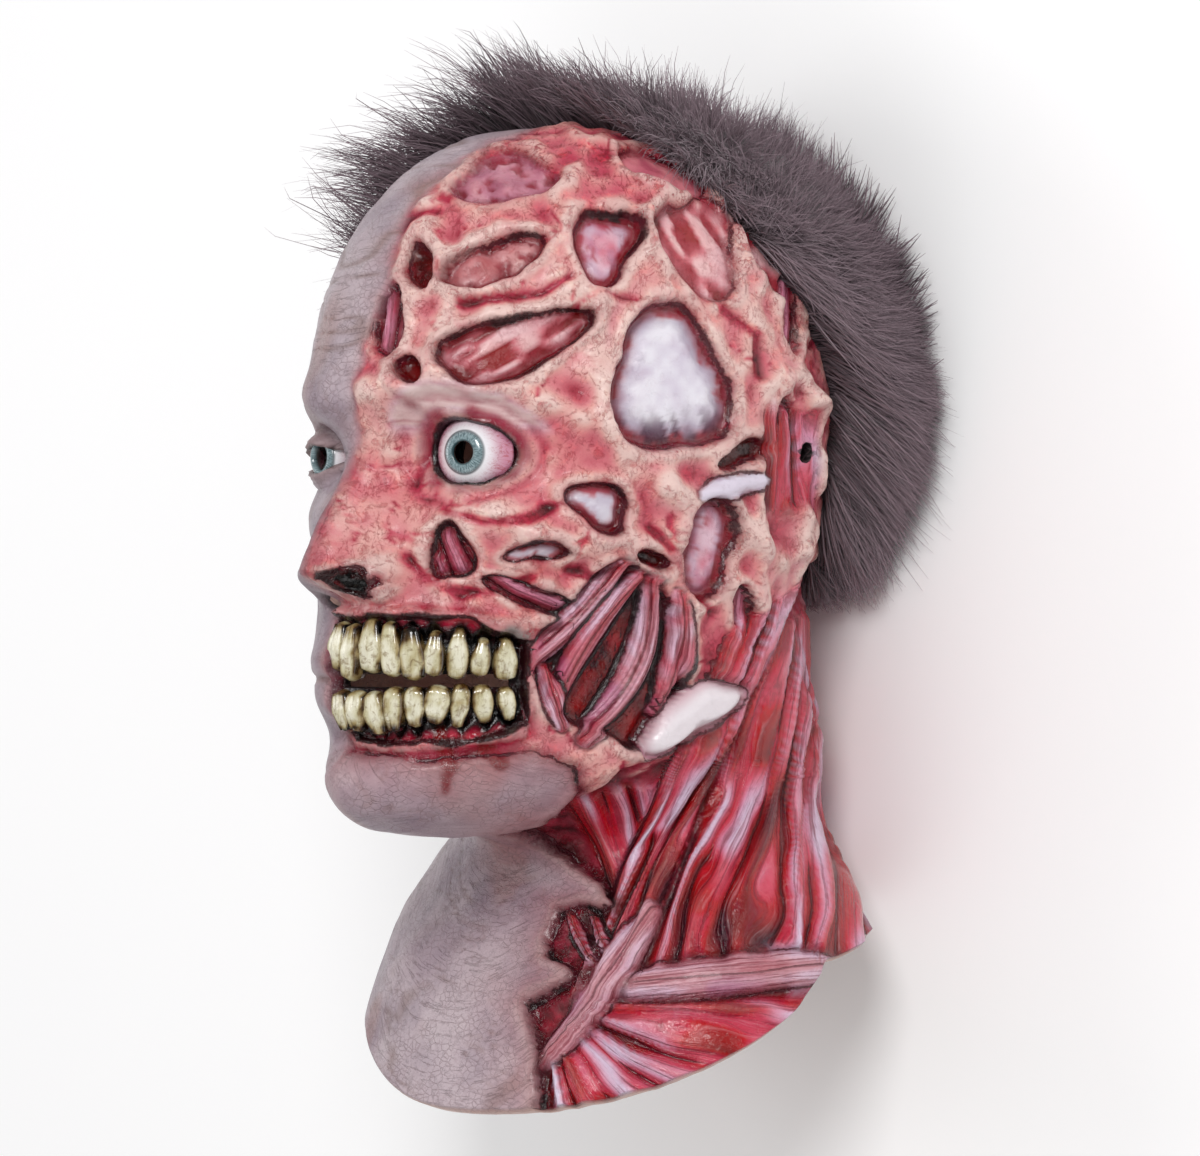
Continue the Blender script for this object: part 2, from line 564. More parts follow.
    def carve_window(self, middle, half, lean, corners, first, depth, floor, fibres, ink):
        """Cuts one window down to its floor, then colours its floor, its wall and its rim."""
        ragged = 1.1 * self.lumps(11, 31) + 0.6 * self.lumps(5, 32)
        off, u, w = self.outline(middle, half, lean, corners, first, ragged)
        inside = smooth(-off, -0.4, 2.4)
        if not inside.any():
            return
        swell, crust, colours = FLOORS[floor]
        turn = math.radians(fibres - lean)
        beside = w * math.cos(turn) - u * math.sin(turn)
        along = u * math.cos(turn) + w * math.sin(turn)
        lane = beside / FIBRE + 0.35 * lumps(14, 34, along, beside)
        ribs = 0.5 - 0.5 * np.cos(2 * math.pi * lane)
        torn = smooth(lumps(2.6, 44, beside, 0.22 * along), -0.5, 0.7)
        pits = smooth(self.lumps(3.6, 35), 0.3, 0.7) * (floor in ("pitted", "lumps"))
        risen = smooth(-off, 1.5, 0.62 * min(half))
        deep = 0.25 * self.lumps(5, 33) - depth + swell * depth * risen
        tone = 0.5 + 0.16 * self.lumps(8, 37) + 0.1 * self.lumps(3.5, 38)
        if floor in ("pitted", "lumps"):
            deep = deep - 1.1 * pits + 0.8 * self.lumps(7, 36)
        elif floor in ("bone", "veined"):
            tone = tone + (0.25 if floor == "bone" else 0.2) * risen
        elif floor == "torn":
            deep = deep + 0.9 * (torn - 0.5)
            tone = torn * 0.6 + 0.5 * tone
        elif floor == "fibre":
            deep = deep + 1.7 * ribs * risen
            tone = ribs * 0.75 + 0.5 * (tone - 0.4)
        self.height += 1.9 * bell(off - 2.2, 2.6) * min(1, depth / 3)
        move_to(self.height, deep, inside)
        full = smooth(-off, 0, 1.6)
        self.tint(ramp(tone, colours), full)
        if floor in ("bone", "veined"):
            brushed = -off + 2.4 * self.lumps(5, 42) + 1.5 * self.lumps(2.2, 43)
            self.tint("#A8303E", full * (1 - smooth(brushed, 2.5, 6)) * 0.85)
            self.tint("#8C7C90", full * plateau(brushed, 5, 9, 2) * 0.3)
        self.tint("#8E2230", full * pits * 0.8)
        if floor == "veined":
            self.tint("#9B1F2A", full * smooth(-np.abs(self.lumps(6, 39)), -0.12, 0) * 0.7)
        elif floor == "bone" and half[0] > 15:
            streak = smooth(-w, 6, 20) * smooth(lumps(5, 40, beside * 2.2, along * 0.5), -0.3, 0.6)
            self.tint("#4B2A3E", full * streak * 0.85)
        elif floor == "fibre":
            self.comb(smooth(-off, -3, 3), beside, along, lane, FIBRE, 0.45)
        move_to(self.crust, crust, full)
        wash = fade(off, 3.4) * (1 - inside)
        self.tint("#A2283A", wash * 0.62 * (0.55 + 0.6 * self.lumps(7, 41)))
        foot = plateau(-off, -0.3, 2.6, 0.9)
        self.tint("#6A0E1A", foot * (0.5 + 0.35 * ink))
        shaded = (0.8 * (self.across - middle[0]) / half[0] + 0.6 * (self.up - middle[1]) / half[1]) / 1.1
        self.edge(off + 0.9, ink * (0.62 + 0.38 * np.clip(shaded, -1, 1)))
        move_to(self.wet, 0.8, np.maximum(foot, full * (floor in ("pit", "cheek"))))

    def sheet(self, first, last):
        """Where each point lies in a fan of strands: its share of the way over, along it, and the
        width and length of the fan there."""
        a0, a1, b0, b1 = (np.array(corner, float) for corner in (*first, *last))
        place = np.stack([self.across, self.up], -1)
        turn = b1 - a1 - b0 + a0
        over = np.full(self.up.shape, 0.5)
        for _ in range(8):
            start = place - a0 - over[..., None] * (b0 - a0)
            way = a1 - a0 + over[..., None] * turn
            miss = start[..., 0] * way[..., 1] - start[..., 1] * way[..., 0]
            slope = (a0 - b0)[0] * way[..., 1] - (a0 - b0)[1] * way[..., 0]
            slope = slope + start[..., 0] * turn[1] - start[..., 1] * turn[0]
            over = np.clip(over - miss / np.where(np.abs(slope) < 1, 1, slope), -1, 2)
        length = np.hypot(way[..., 0], way[..., 1])
        along = (start * way).sum(-1) / length**2
        gap = b0 - a0 + along[..., None] * turn
        width = np.abs(gap[..., 0] * way[..., 1] - gap[..., 1] * way[..., 0]) / length
        return over, along, np.clip(width, 4, 200), length

    def lay_sheet(self, first, last, count, depth, ink, rise, paleness):
        """A sheet of muscle: rounded strands that wander, merge and part, with dark valleys."""
        over, along, width, length = self.sheet(first, last)
        t = along * length
        places = (count * over, t / 34)
        lane = count * over + 0.34 * lumps(1.3, 131 + count, *places) + 0.1 * lumps(0.4, 132, *places)
        off = lane - np.round(lane)
        open_share = smooth(lumps(1, 133, 1.7 * np.round(lane), t / 24), -0.9, 0)
        dome = np.sin(math.pi * off) ** 2
        inside = plateau(over, 0, 1, 0.06) * plateau(t + 3 * lumps(0.5, 135, *places), 0, length, 4)
        if not (inside > 0).any():
            return
        level = depth * (dome - 1) * (0.45 + 0.55 * open_share) + 0.8 * lumps(0.9, 136, *places)
        self.height += (level + 0.45 * depth + rise - 0.8 * self.height) * inside
        streak = lumps(1, 137, 5 * lane, t / 22)
        crest = smooth(lumps(1, 134, 1.7 * np.floor(lane), t / 30), -0.9, 0)
        tone = paleness + dome * (0.3 * crest + 0.26 * lumps(1, 138, 2.3 * np.floor(lane), t / 60))
        tone = tone + 0.2 * streak - 0.3 * (1 - dome) * open_share
        tone = tone + 0.16 * smooth(lumps(1.2, 139, *places), 0.1, 0.9)
        self.tint(ramp(tone, SHEET_COLOURS), inside)
        self.comb(inside, 7 * lane, t, lane, width / count, ink * (open_share + (0.3 - open_share) * dome))
        self.rim = np.where(inside > 0.5, self.FAR, self.rim)
        move_to(self.crust, 0.25, inside)
        move_to(self.wet, 0.65, inside)

    def sink_neck(self):
        """Under the jaw the flesh lies deeper, dark red between its strands."""
        jaw = np.interp(self.across, *zip(*JAW_LINE)) + 1.5 * self.lumps(9, 45)
        self.neck = smooth(jaw - self.up, 0, 5)
        self.height -= 2.6 * self.neck
        lip = bell(self.up - jaw - 3, 3.5)
        self.height += 1.6 * lip * smooth(self.across, -60, -20)
        tone = 0.28 + 0.12 * self.lumps(10, 46) + 0.08 * self.lumps(4, 47)
        self.tint(ramp(tone, FLESH), self.neck)

    def hang_teardrop(self):
        """The pale gland that hangs under the jaw."""
        middle, half, lean, height = TEARDROP
        off, _, _ = self.outline(middle, half, lean, 3, 200, 0.9 * self.lumps(14, 48))
        swell = np.sin(np.clip(-off / min(half), 0, 1) * math.pi / 2)
        body = smooth(-off, -0.8, 1.4)
        move_to(self.height, -0.8 + (height + 0.8) * swell, body)
        self.height -= 1.4 * bell(off - 2, 2)
        tone = 0.72 + 0.25 * swell - 0.2 * bell(off + 1.5, 2.2) + 0.08 * self.lumps(12, 49)
        self.tint("#5A0F1C", bell(np.maximum(off, 0), 3) * 0.6)
        self.tint(ramp(tone, [(0.3, "#B56A6E"), (0.6, "#DCC6C6"), (0.9, "#F2EEEA")]), body)
        self.comb(smooth(-off, -3, 3) * 0.4, 0.0, 0.0)
        self.edge(off - 0.4, 0.45)
        move_to(self.crust, 0, body)
        move_to(self.wet, 0.3, body)

    def open_mouth(self):
        """The hollow with its black gums, the roots over the teeth and the lips' crease beyond."""
        degrees = np.degrees(self.angle) + 0.8 * self.lumps(9, 51)
        height = self.up + 1.2 * self.lumps(8, 52)
        top = MOUTH["top"] - 9 * smooth(degrees, 30, 48)
        bottom = MOUTH["bottom"] + 7 * smooth(degrees, 34, 48)
        sides = np.maximum(MOUTH["from"] - degrees, degrees - MOUTH["to"]) * DEGREE
        off = np.maximum(sides, np.maximum(height - top, bottom - height))
        hollow = smooth(-off, -1.2, 2)
        move_to(self.height, -CARVING, hollow)
        self.comb(smooth(-off, -6, 0) * 0.44, 0.0, 0.0)
        move_to(self.crust, 0.1, smooth(-off, -2, 1))
        around = plateau(degrees, MOUTH["from"] - 3, MOUTH["to"] + 2, 2)
        flesh = around * plateau(height, bottom - 7, top + 5, 2)
        self.tint(ramp(0.42 + 0.14 * self.lumps(5, 53), FLESH), flesh)
        for count, middle, bow, half in TEETH:
            beat = (degrees - TEETH_FROM) / (TEETH_TO - TEETH_FROM) * (count - 1)
            root = 0.5 + 0.5 * np.cos(2 * math.pi * beat)
            away = 1 if middle > FACE["mouth"] else -1
            level = (self.up - middle - bow * row_bow(degrees)) * away - half[1]
            within = plateau(degrees, TEETH_FROM - 4, TEETH_TO + 4, 1)
            gum = within * smooth(level, -5 + 4 * root, -1 + 4 * root) * smooth(-level, -9, -4)
            self.height += gum * (2.6 + 1.5 * root)
            black = within * smooth(level, -22, -19) * (1 - smooth(level, -1 + 3 * root, 2.5 + 3 * root))
            self.tint("#B0474A", gum * smooth(level, 1, 4) * (0.35 + 0.4 * root))
            self.tint("#020203", black)
            move_to(self.wet, 1, np.maximum(black, gum))
        self.edge(off, 1.7)
        crease = bell(self.up - FACE["mouth"], 1.5) * smooth(-self.angle, 0.05, 0.1)
        crease = crease * (1 - smooth(-self.angle, 0.42, 0.52)) * smooth(self.outward[..., 2], 0, 0.2)
        self.lip_crease = crease

    def set_eyes(self):
        """The bare eye sits in a torn ring of flesh and the other one behind two heavy lids."""
        for name, eye in EYES.items():
            look = heading_at(math.radians(eye["look"]))
            away = self.place - np.array(eye["at"])
            ahead = away @ look
            behind = (ahead < 0) * 99
            rho = np.linalg.norm(away - ahead[..., None] * look, axis=-1) + behind
            reach = np.linalg.norm(away, axis=-1)
            facing = np.clip((self.outward * away).sum(-1) / reach, 0.4, 1)
            lid = np.clip((eye["radius"] + 1.9 - reach) / facing, 0, 8) * (1 - smooth(rho, 15, 21))
            if name == "bare":
                self.tear_socket(away @ np.cross((0, 1, 0), look), away[..., 1], lid, behind)
            else:
                self.part_lids(away[..., 0], away[..., 1], lid, behind)

    def tear_socket(self, u, w, lid, behind):
        """The torn ring, its pale brow and the dark rim round the opening."""
        half = np.where(w > 0, 11.2, 10.4) * (1 - 0.12 * (u / 16)) + 0.5 * self.lumps(6, 61)
        slit = (np.sqrt(np.abs(u / 15.6) ** 2.3 + np.abs(w / half) ** 2) - 1) * 11 + behind
        opening = 1 - smooth(slit, -0.6, 1)
        self.height += (lid + 0.8 * bell(slit - 4.5, 3.2) - self.height * 0.5) * (1 - smooth(slit, 4, 12))
        self.height -= 1.3 * bell(slit - 9.5, 2)
        move_to(self.height, -5, opening)
        brow = plateau(slit, 4, 14, 2) * smooth(w, 4, 12)
        self.tint("#E4D6CE", brow * 0.8)
        self.tint("#A8606A", brow * smooth(-np.abs(lumps(6, 63, w, u * 0.2)), -0.25, 0) * 0.5)
        self.tint("#9A4650", plateau(slit, 1, 6, 1.5) * (0.55 + 0.5 * self.lumps(6, 62)))
        self.tint("#560D1A", bell(np.maximum(slit, 0), 2.6) * 0.9)
        self.tint("#14060A", 1 - smooth(slit, 0.5, 2.2))
        self.comb(smooth(-slit, -18, -12) * 0.44, 0.0, 0.0)
        move_to(self.crust, 0.06, np.maximum(1 - smooth(slit, 2, 7), brow))
        self.edge(slit - 0.4, 1.7)
        move_to(self.wet, 0.9, 1 - smooth(slit, 2, 5))

    def part_lids(self, u, w, lid, behind):
        """The lids' swell and the slit between them, which the skin takes up later."""
        half = np.where(w > 0, 5.6, 4.4) * np.sqrt(np.clip(1 - (u / 14) ** 2, 0.02, 1))
        self.slit = (np.hypot(u / 14, w / half) - 1) * 5 + behind
        self.lid_rise = lid - 1.4 * bell(self.slit - 5.5, 1.6)

    def tear_nose(self):
        """A black glossy hole where the flayed nostril was, and the whole nostril beside it."""
        off = (np.hypot((self.x - 12) / 7, (self.up + 43) / 5.5) - 1) * 6
        off = off + 1.5 * self.lumps(5, 65) + 0.8 * self.lumps(2.5, 66)
        front = smooth(self.z, 205, 215)
        hole = smooth(-off, -0.5, 2) * front
        move_to(self.height, -5, hole)
        self.height += 1.6 * bell(off - 2.2, 1.8) * (1 + 0.7 * self.lumps(4, 67)) * front
        self.tint("#7A1020", fade(off, 3.2) * front * 0.95)
        self.edge(off + (1 - front) * 9, 1.4)
        self.tint("#030203", smooth(-off, -0.5, 1.5) * front)
        move_to(self.wet, 1, smooth(-off, -1, 1) * front)
        self.crust *= 1 - smooth(-off, -2, 0.5) * front
        self.nostril = smooth(1 - np.hypot((self.x + 10) / 5, (self.up + 50) / 4), 0, 0.5) * front

    def skin_over(self):
        """Grey skin covers the right half, the chin and the throat, and ends in a torn edge."""
        low = smooth(-self.up, 96, 122)
        brow = smooth(self.up, -16, 24)
        ends = np.interp(self.up, SKIN_HEIGHTS, SKIN_ENDS)
        patch = edge_distance(self.across, self.up, TORN_EDGE, closed=True)
        off = np.where(np.abs(self.angle) > math.pi / 2, self.x, np.minimum(self.x - ends, patch))
        off = off + 1.1 * self.lumps(9, 71) + 0.6 * self.lumps(3.5, 72)
        off = off + brow * (4.5 * self.lumps(20, 70) + 2 * self.lumps(7, 69))
        share = smooth(-off, -0.3 - 2.6 * brow, 0.9 + 2.6 * brow)
        torn = bell(off - 1.3, 2.4) * (0.35 + 0.65 * low)
        self.flesh = 1 - share
        wrinkles = self.wrinkle()
        skin = 0.3 + 1.5 * low + 0.5 * self.lumps(24, 73) + 0.3 * self.lumps(9, 74) - 0.55 * wrinkles
        skin = skin + self.lid_rise - 1.8 * self.lip_crease
        skin = skin + 0.9 * bell(off + 2.4, 1.8) * (0.3 + 0.7 * low)
        move_to(self.height, skin, share)
        tone = 0.55 + 0.16 * self.lumps(38, 75) + 0.12 * self.lumps(15, 76) + 0.07 * self.lumps(5, 77)
        self.tint(ramp(tone, SKIN), share)
        self.tint("#8A6E66", share * wrinkles * 0.62)
        self.tint("#9C8290", share * smooth(self.lumps(30, 78), 0.15, 0.9) * 0.4)
        self.tint("#A9705F", share * smooth(self.lumps(21, 79), 0.35, 1) * 0.35)
        self.tint("#B25A5A", share * fade(-off, 4 + 6 * low) * 0.7)
        self.tint("#8B5F5C", share * self.lip_crease * 0.9)
        self.tint("#8D6664", share * (1 - smooth(self.slit, 0, 9)) * 0.7)
        self.tint("#4E0A18", torn)
        self.rim = np.where(off < 0, -self.FAR, self.rim)
        self.ink = np.where(off < 0, 0, self.ink)
        shown = (0.1 + 0.8 * low * smooth(self.lumps(8, 80), -0.5, 0.3)) * (1 - brow)
        self.edge(np.where(off > -self.FAR, off - 0.5, -self.FAR), shown)
        move_to(self.wet, 0.08, share)
        move_to(self.wet, 0.9, torn)
        self.lane[..., 2] *= 1 - share
        self.grain = np.where((off < 0)[..., None], self.skin_lines, self.grain)
        self.crust = np.where(off < 0, self.lined * smooth(-off, 0, 3), self.crust)

    def open_skin(self):
        """Opens the slit between the lids and the whole nostril."""
        move_to(self.height, -5, 1 - smooth(self.slit, -0.6, 0.7))
        self.tint("#3A1216", 1 - smooth(self.slit, 0.3, 1.8))
        self.height -= 4.5 * self.nostril
        self.tint("#1C0D0E", self.nostril)

    def let_drip(self):
        """The wet red runs down the throat from the edge of the jaw."""
        runs = [edge_distance(self.across, self.up, corners) for corners in DRIPS]
        run = np.minimum(*runs) + 1.2 * self.lumps(5, 81) + 0.12 * (-self.up - 104)
        run = run + 20 * smooth(-self.angle, 0.1, 0.4)
        drip = 1 - smooth(run, 2.6, 4.8)
        self.tint("#6E1219", drip * 0.9)
        self.tint("#A2484A", fade(run, 5) * 0.4 * (1 - self.flesh))
        move_to(self.wet, 1, drip)

    def wrinkle(self):
        """Folds in the skin, from 0 to 1: across the brow, in arcs on the bib and all ways between."""
        brow = smooth(self.up, 24, 44) * smooth(self.outward[..., 2], -0.1, 0.3)
        bib = smooth(-self.up, 124, 146)
        swirl = 2.6 * self.lumps(26, 90)
        radius = np.hypot(self.x + 10, self.up + 128)
        arc = radius * np.arctan2(self.x + 10, -self.up - 128)
        slant = 0.8 * self.up + 0.6 * np.abs(self.x)
        across = slant + (self.up - slant) * brow
        across = across + (radius - across) * bib + swirl
        along = self.x * (1 - bib) + arc * bib
        self.skin_lines = np.stack([across, along, 0 * across], -1)
        front = smooth(self.outward[..., 2], 0.1, 0.6)
        self.lined = np.maximum(np.maximum(brow, 0.9 * bib), 0.3 + 0.3 * front)
        lines = smooth(-np.abs(lumps(6.5, 91, across, 0.14 * along)), -0.2, 0)
        every = smooth(-np.abs(self.lumps(9, 93) + 0.4 * self.lumps(4, 94)), -0.16, 0)
        some = smooth(self.lumps(16, 95), -0.5, 0.4)
        return np.maximum(lines * np.maximum(some, brow) * self.lined, 0.55 * every * some * (1 - brow))

    def finish(self):
        """Shows bare web wherever nothing else is painted, dark in its hollows and pale on its ridges."""
        near = self.height - blurred(self.height, 16)
        wide = self.height - blurred(self.height, 90)
        tone = 0.8 + 0.09 * near + 0.04 * wide + 0.07 * self.lumps(26, 101) + 0.06 * self.lumps(9, 102)
        tone = tone - 0.36 * self.creases - 0.12 * smooth(self.up, 84, 120)
        tone = np.maximum(tone, 0.5 + 0.5 * (tone - 0.5))
        self.colour += ramp(tone, FLESH) * (1 - self.cover)[..., None]
        self.cover[:] = 1
        grey = self.colour.mean(-1, keepdims=True)
        bare_bone = 1 - smooth(self.crust, 0.08, 0.2)
        ridge = np.maximum(smooth(near, -0.9, 0.7) * np.minimum(self.crust, 1), bare_bone)[..., None]
        vivid = np.clip(grey + (self.colour - grey) * VIVID, 0, 1)
        vivid = vivid * (TINGE[0] + (TINGE[1] - TINGE[0]) * ridge)
        self.colour += (vivid - self.colour) * self.flesh[..., None]
        hollow = smooth(-near, 0.4, 2.6)[..., None]
        shaded = rgb("#B0405A") + (rgb("#A8949C") - rgb("#B0405A")) * (1 - self.flesh)[..., None]
        self.colour *= 1 - hollow * (1 - shaded) * 0.7
        crest = smooth(near, 0.2, 1.3)
        self.tint("#F0DCD6", crest * (0.3 - 0.12 * (1 - self.flesh)) * np.minimum(self.crust, 1))
        self.wet = np.clip(self.wet + 0.25 * smooth(self.lumps(9, 103), 0.2, 0.8) * self.flesh, 0, 1)
        self.ink *= 1 - smooth(np.abs(self.rim), 0.6 * self.FAR, 0.95 * self.FAR)


def coat_of(angle, v):
    """Everything carved and painted on the outside, in the order that a maker would go."""
    coat = Coat(angle, v)
    coat.base_flesh()
    coat.sink_neck()
    for window in WINDOWS:
        coat.carve_window(*window)
    for sheet in SHEETS.values():
        coat.lay_sheet(*sheet)
    for strand in STRANDS:
        coat.lay_strand(*strand)
    coat.hang_teardrop()
    coat.open_mouth()
    coat.set_eyes()
    coat.tear_nose()
    coat.skin_over()
    coat.open_skin()
    coat.let_drip()
    coat.finish()
    return coat


# Materials


class Number:
    """A number that a material works out, with plain arithmetic between such numbers."""

    def __init__(self, wiring, socket):
        self.wiring = wiring
        self.socket = socket

    def __add__(self, other):
        return self.wiring.math("ADD", self, other)

    def __sub__(self, other):
        return self.wiring.math("SUBTRACT", self, other)

    def __rsub__(self, other):
        return self.wiring.math("SUBTRACT", other, self)

    def __mul__(self, other):
        return self.wiring.math("MULTIPLY", self, other)

    def __truediv__(self, other):
        return self.wiring.math("DIVIDE", self, other)

    def __abs__(self):
        return self.wiring.math("ABSOLUTE", self)

    def spread(self, low, high, new_low=0.0, new_high=1.0):
        """Its way from low to high, as a smooth way from new_low to new_high."""
        sockets = {"Value": self, "From Min": low, "From Max": high, "To Min": new_low, "To Max": new_high}
        node = self.wiring.node("MapRange", sockets, interpolation_type="SMOOTHSTEP")
        return Number(self.wiring, node.outputs[0])

    def fall(self, low, high):
        """1 at low, falling smoothly to 0 at high."""
        return self.spread(low, high, 1.0, 0.0)

    def near(self, middle, reach):
        """1 where it is at the middle, falling to 0 at a reach from it."""
        return abs(self - middle).fall(0.0, reach)


class Wiring:
    """Adds shader nodes to a new material by plain calls. A colour may be given as its code."""

    def __init__(self, name, **constants):
        self.material = bpy.data.materials.new(name)
        self.material.use_nodes = True
        self.tree = self.material.node_tree
        self.shader = self.tree.nodes["Principled BSDF"]
        for socket, value in constants.items():
            self.shader.inputs[socket.replace("_", " ")].default_value = value

    def node(self, kind, sockets=None, **settings):
        """A new node with some of its sockets fed."""
        node = self.tree.nodes.new("ShaderNode" + kind)
        for key, value in settings.items():
            setattr(node, key, value)
        for key, value in (sockets or {}).items():
            self.feed(node.inputs[key], value)
        return node

    def feed(self, socket, value):
        """Sets a socket, or links it to another one."""
        value = getattr(value, "socket", value)
        if isinstance(value, bpy.types.NodeSocket):
            self.tree.links.new(value, socket)
        elif isinstance(value, str):
            socket.default_value = (*rgb(value), 1)
        else:
            socket.default_value = value

    def attribute(self, name, part="Vector"):
        return self.node("Attribute", attribute_name=name).outputs[part]

    def number(self, name):
        return Number(self, self.attribute(name, "Fac"))

    def parts(self, vector):
        return [Number(self, part) for part in self.node("SeparateXYZ", {0: vector}).outputs]

    def object_place(self):
        return self.node("TexCoord").outputs["Object"]

    def millimetres(self):
        """Places on the object, in millimetres."""
        sockets = {0: self.object_place(), "Scale": 1 / MM}
        return self.node("VectorMath", sockets, operation="SCALE").outputs[0]

    def scaled(self, vector, by):
        return self.node("VectorMath", {0: vector, 1: by}, operation="MULTIPLY").outputs[0]

    def noise(self, vector, size, detail=3, rough=0.55, warp=0):
        sockets = {"Vector": vector, "Scale": 1 / size, "Detail": detail}
        sockets |= {"Roughness": rough, "Distortion": warp}
        return Number(self, self.node("TexNoise", sockets).outputs[0])

    def cell_edges(self, vector, size):
        node = self.node("TexVoronoi", {"Vector": vector, "Scale": 1 / size}, feature="DISTANCE_TO_EDGE")
        return Number(self, node.outputs["Distance"])

    def math(self, operation, *values):
        return Number(self, self.node("Math", dict(enumerate(values)), operation=operation).outputs[0])

    def blend(self, share, below, above, kind="MIX"):
        """A share of one colour over another."""
        node = self.node("Mix", data_type="RGBA", blend_type=kind)
        for socket, value in zip([node.inputs[k] for k in (0, 6, 7)], (share, below, above)):
            self.feed(socket, value)
        return node.outputs[2]

    def bump(self, height, distance, strength):
        sockets = {"Height": height, "Distance": distance * MM, "Strength": strength}
        self.feed(self.shader.inputs["Normal"], self.node("Bump", sockets).outputs[0])

    def finish(self, colour, roughness):
        self.feed(self.shader.inputs["Base Color"], colour)
        self.feed(self.shader.inputs["Roughness"], roughness)
        return self.material


def made_once(make):
    """Keeps a material that several pieces share."""

    def fetch():
        name = make.__name__
        return bpy.data.materials.get(name) or make(name)

    return fetch


@made_once
def latex_material(name):
    """Brushed paint on latex: flecked and streaked flesh, lined grey skin and inked glossy edges."""
    wiring = Wiring(name, Specular_IOR_Level=0.55, Coat_Weight=0.14, Coat_Roughness=0.12)
    place = wiring.millimetres()
    grain = wiring.attribute("grain")
    combed = wiring.parts(grain)[2]
    flesh, crust, rim, ink, wet = (wiring.number(key) for key in ("flesh", "crust", "rim", "ink", "wet"))
    colour = wiring.attribute("paint", "Color")

    # The web of the flesh
    bare = flesh * crust
    fleck = wiring.noise(place, 4.2, 6, 0.7, 0.8).spread(0.53, 0.64)
    crinkle = wiring.noise(wiring.scaled(place, (1, 0.7, 1)), 5.5, 5, 0.62, 1.6).near(0.5, 0.022)
    crinkle = crinkle * wiring.noise(place, 9.0, 3).spread(0.42, 0.56)
    light = wiring.noise(place, 6.5, 6, 0.65).spread(0.52, 0.66)
    rouge = wiring.noise(place, 13.0, 5, 0.7, 0.4).spread(0.47, 0.68)
    colour = wiring.blend(rouge * (bare * 0.3), colour, "#C4405A")
    colour = wiring.blend(fleck * (bare * 0.42), colour, "#C8505E", "MULTIPLY")
    colour = wiring.blend(crinkle * (bare * 0.55), colour, "#B4283C")
    colour = wiring.blend(light * (bare * 0.6), colour, "#D8C8C2", "OVERLAY")

    # The threads of the strands
    thread = wiring.noise(wiring.scaled(grain, (1, 0.035, 1)), 1.1, 4, 0.65, 0.4)
    colour = wiring.blend(thread.fall(0.36, 0.5) * (combed * 0.65), colour, "#7A1428")
    colour = wiring.blend(thread.spread(0.54, 0.76) * (combed * 0.22), colour, "#EFD0D8")

    # The folds, cracks and pores of the skin
    grey = 1.0 - flesh
    patch = wiring.noise(place, 11.0, 3).spread(0.42, 0.6)
    fold = wiring.noise(wiring.scaled(grain, (1, 0.1, 1)), 4.5, 4, 0.6, 0.5).near(0.5, 0.022)
    fold = fold * patch * (grey * crust)
    cracks = wiring.cell_edges(wiring.scaled(place, (1, 1.4, 1)), 3.4).fall(0.0, 0.1)
    cracks = cracks * grey * (1.1 - patch)
    pores = wiring.noise(place, 1.3, 4, 0.65).spread(0.56, 0.68) * grey
    colour = wiring.blend(fold * 0.42, colour, "#7A5C5C")
    colour = wiring.blend(cracks * 0.3, colour, "#85686A")
    colour = wiring.blend(pores * 0.35, colour, "#826A70")

    # The inked edges and valleys
    wobble = (wiring.noise(place, 2.4, 4, 0.65) - 0.5) * 2.2
    line = 1.0 - (abs(rim + wobble) / (ink * 0.95 + 0.35)).spread(0.35, 1.15)
    line = line * ink.spread(0.02, 0.2)
    valley, strands = valley_of(wiring, wobble)
    colour = wiring.blend(strands * 0.4, colour, "#6A1020")
    colour = wiring.blend(valley * ink.spread(0.1, 0.6, 0.5, 0.88), colour, "#2A050E")
    colour = wiring.blend(line * 0.93, colour, wiring.blend(ink.spread(0.3, 0.8), "#4A0C1A", INK))
    line = wiring.math("MAXIMUM", line, valley)

    # The relief and the gloss
    lump = (wiring.noise(place, 3.0, 5, 0.65) + fleck * -0.25) * (crust * 0.8 + 0.35)
    lump = lump - crinkle * bare * 0.22 - strands * 0.5
    lump = lump + wiring.noise(place, 2.2, 3, 0.5) * (wet * 0.9)
    lines = cracks * -0.3 + fold * -0.45 + line * -0.9
    wiring.bump(lump + thread * combed * 2.2 + lines, 0.8, 0.8)
    gloss = wiring.math("MAXIMUM", wet, line).spread(0.0, 1.0, 0.5, 0.07)
    return wiring.finish(colour, gloss + fleck * -0.08)


def valley_of(wiring, wobble):
    """The dark valleys between the strands of a sheet, and the fainter ones between finer strands."""
    lane, width, ink = wiring.parts(wiring.attribute("lane"))
    shown = []
    for finer, reach in ((1, 0.9), (3, 0.3)):
        part = wiring.math("FRACT", lane * finer + 0.5)
        off = abs(part - 0.5) * width / finer + wobble * 0.35
        line = (off / (ink * reach + 0.2)).fall(0.3, 1.2)
        shown.append(line * ink.spread(0.05, 0.3))
    return shown


@made_once
def enamel_material(name):
    """Painted teeth under a clear gloss."""
    wiring = Wiring(name, Coat_Weight=0.8, Coat_Roughness=0.08)
    place = wiring.millimetres()
    streak = wiring.noise(wiring.scaled(place, (1, 0.25, 1)), 1.1, 4, 0.65).spread(0.5, 0.68)
    stain = wiring.noise(place, 3.4, 6, 0.72, 0.6).spread(0.5, 0.64)
    colour = wiring.blend(streak * 0.45, wiring.attribute("paint", "Color"), "#B8A884", "MULTIPLY")
    colour = wiring.blend(stain * 0.6, colour, "#8A6A3A", "MULTIPLY")
    wiring.bump(wiring.noise(wiring.scaled(place, (1, 0.4, 1)), 1.4, 3), 0.25, 0.6)
    return wiring.finish(colour, wiring.noise(place, 2.0).spread(0.3, 0.7, 0.16, 0.34))


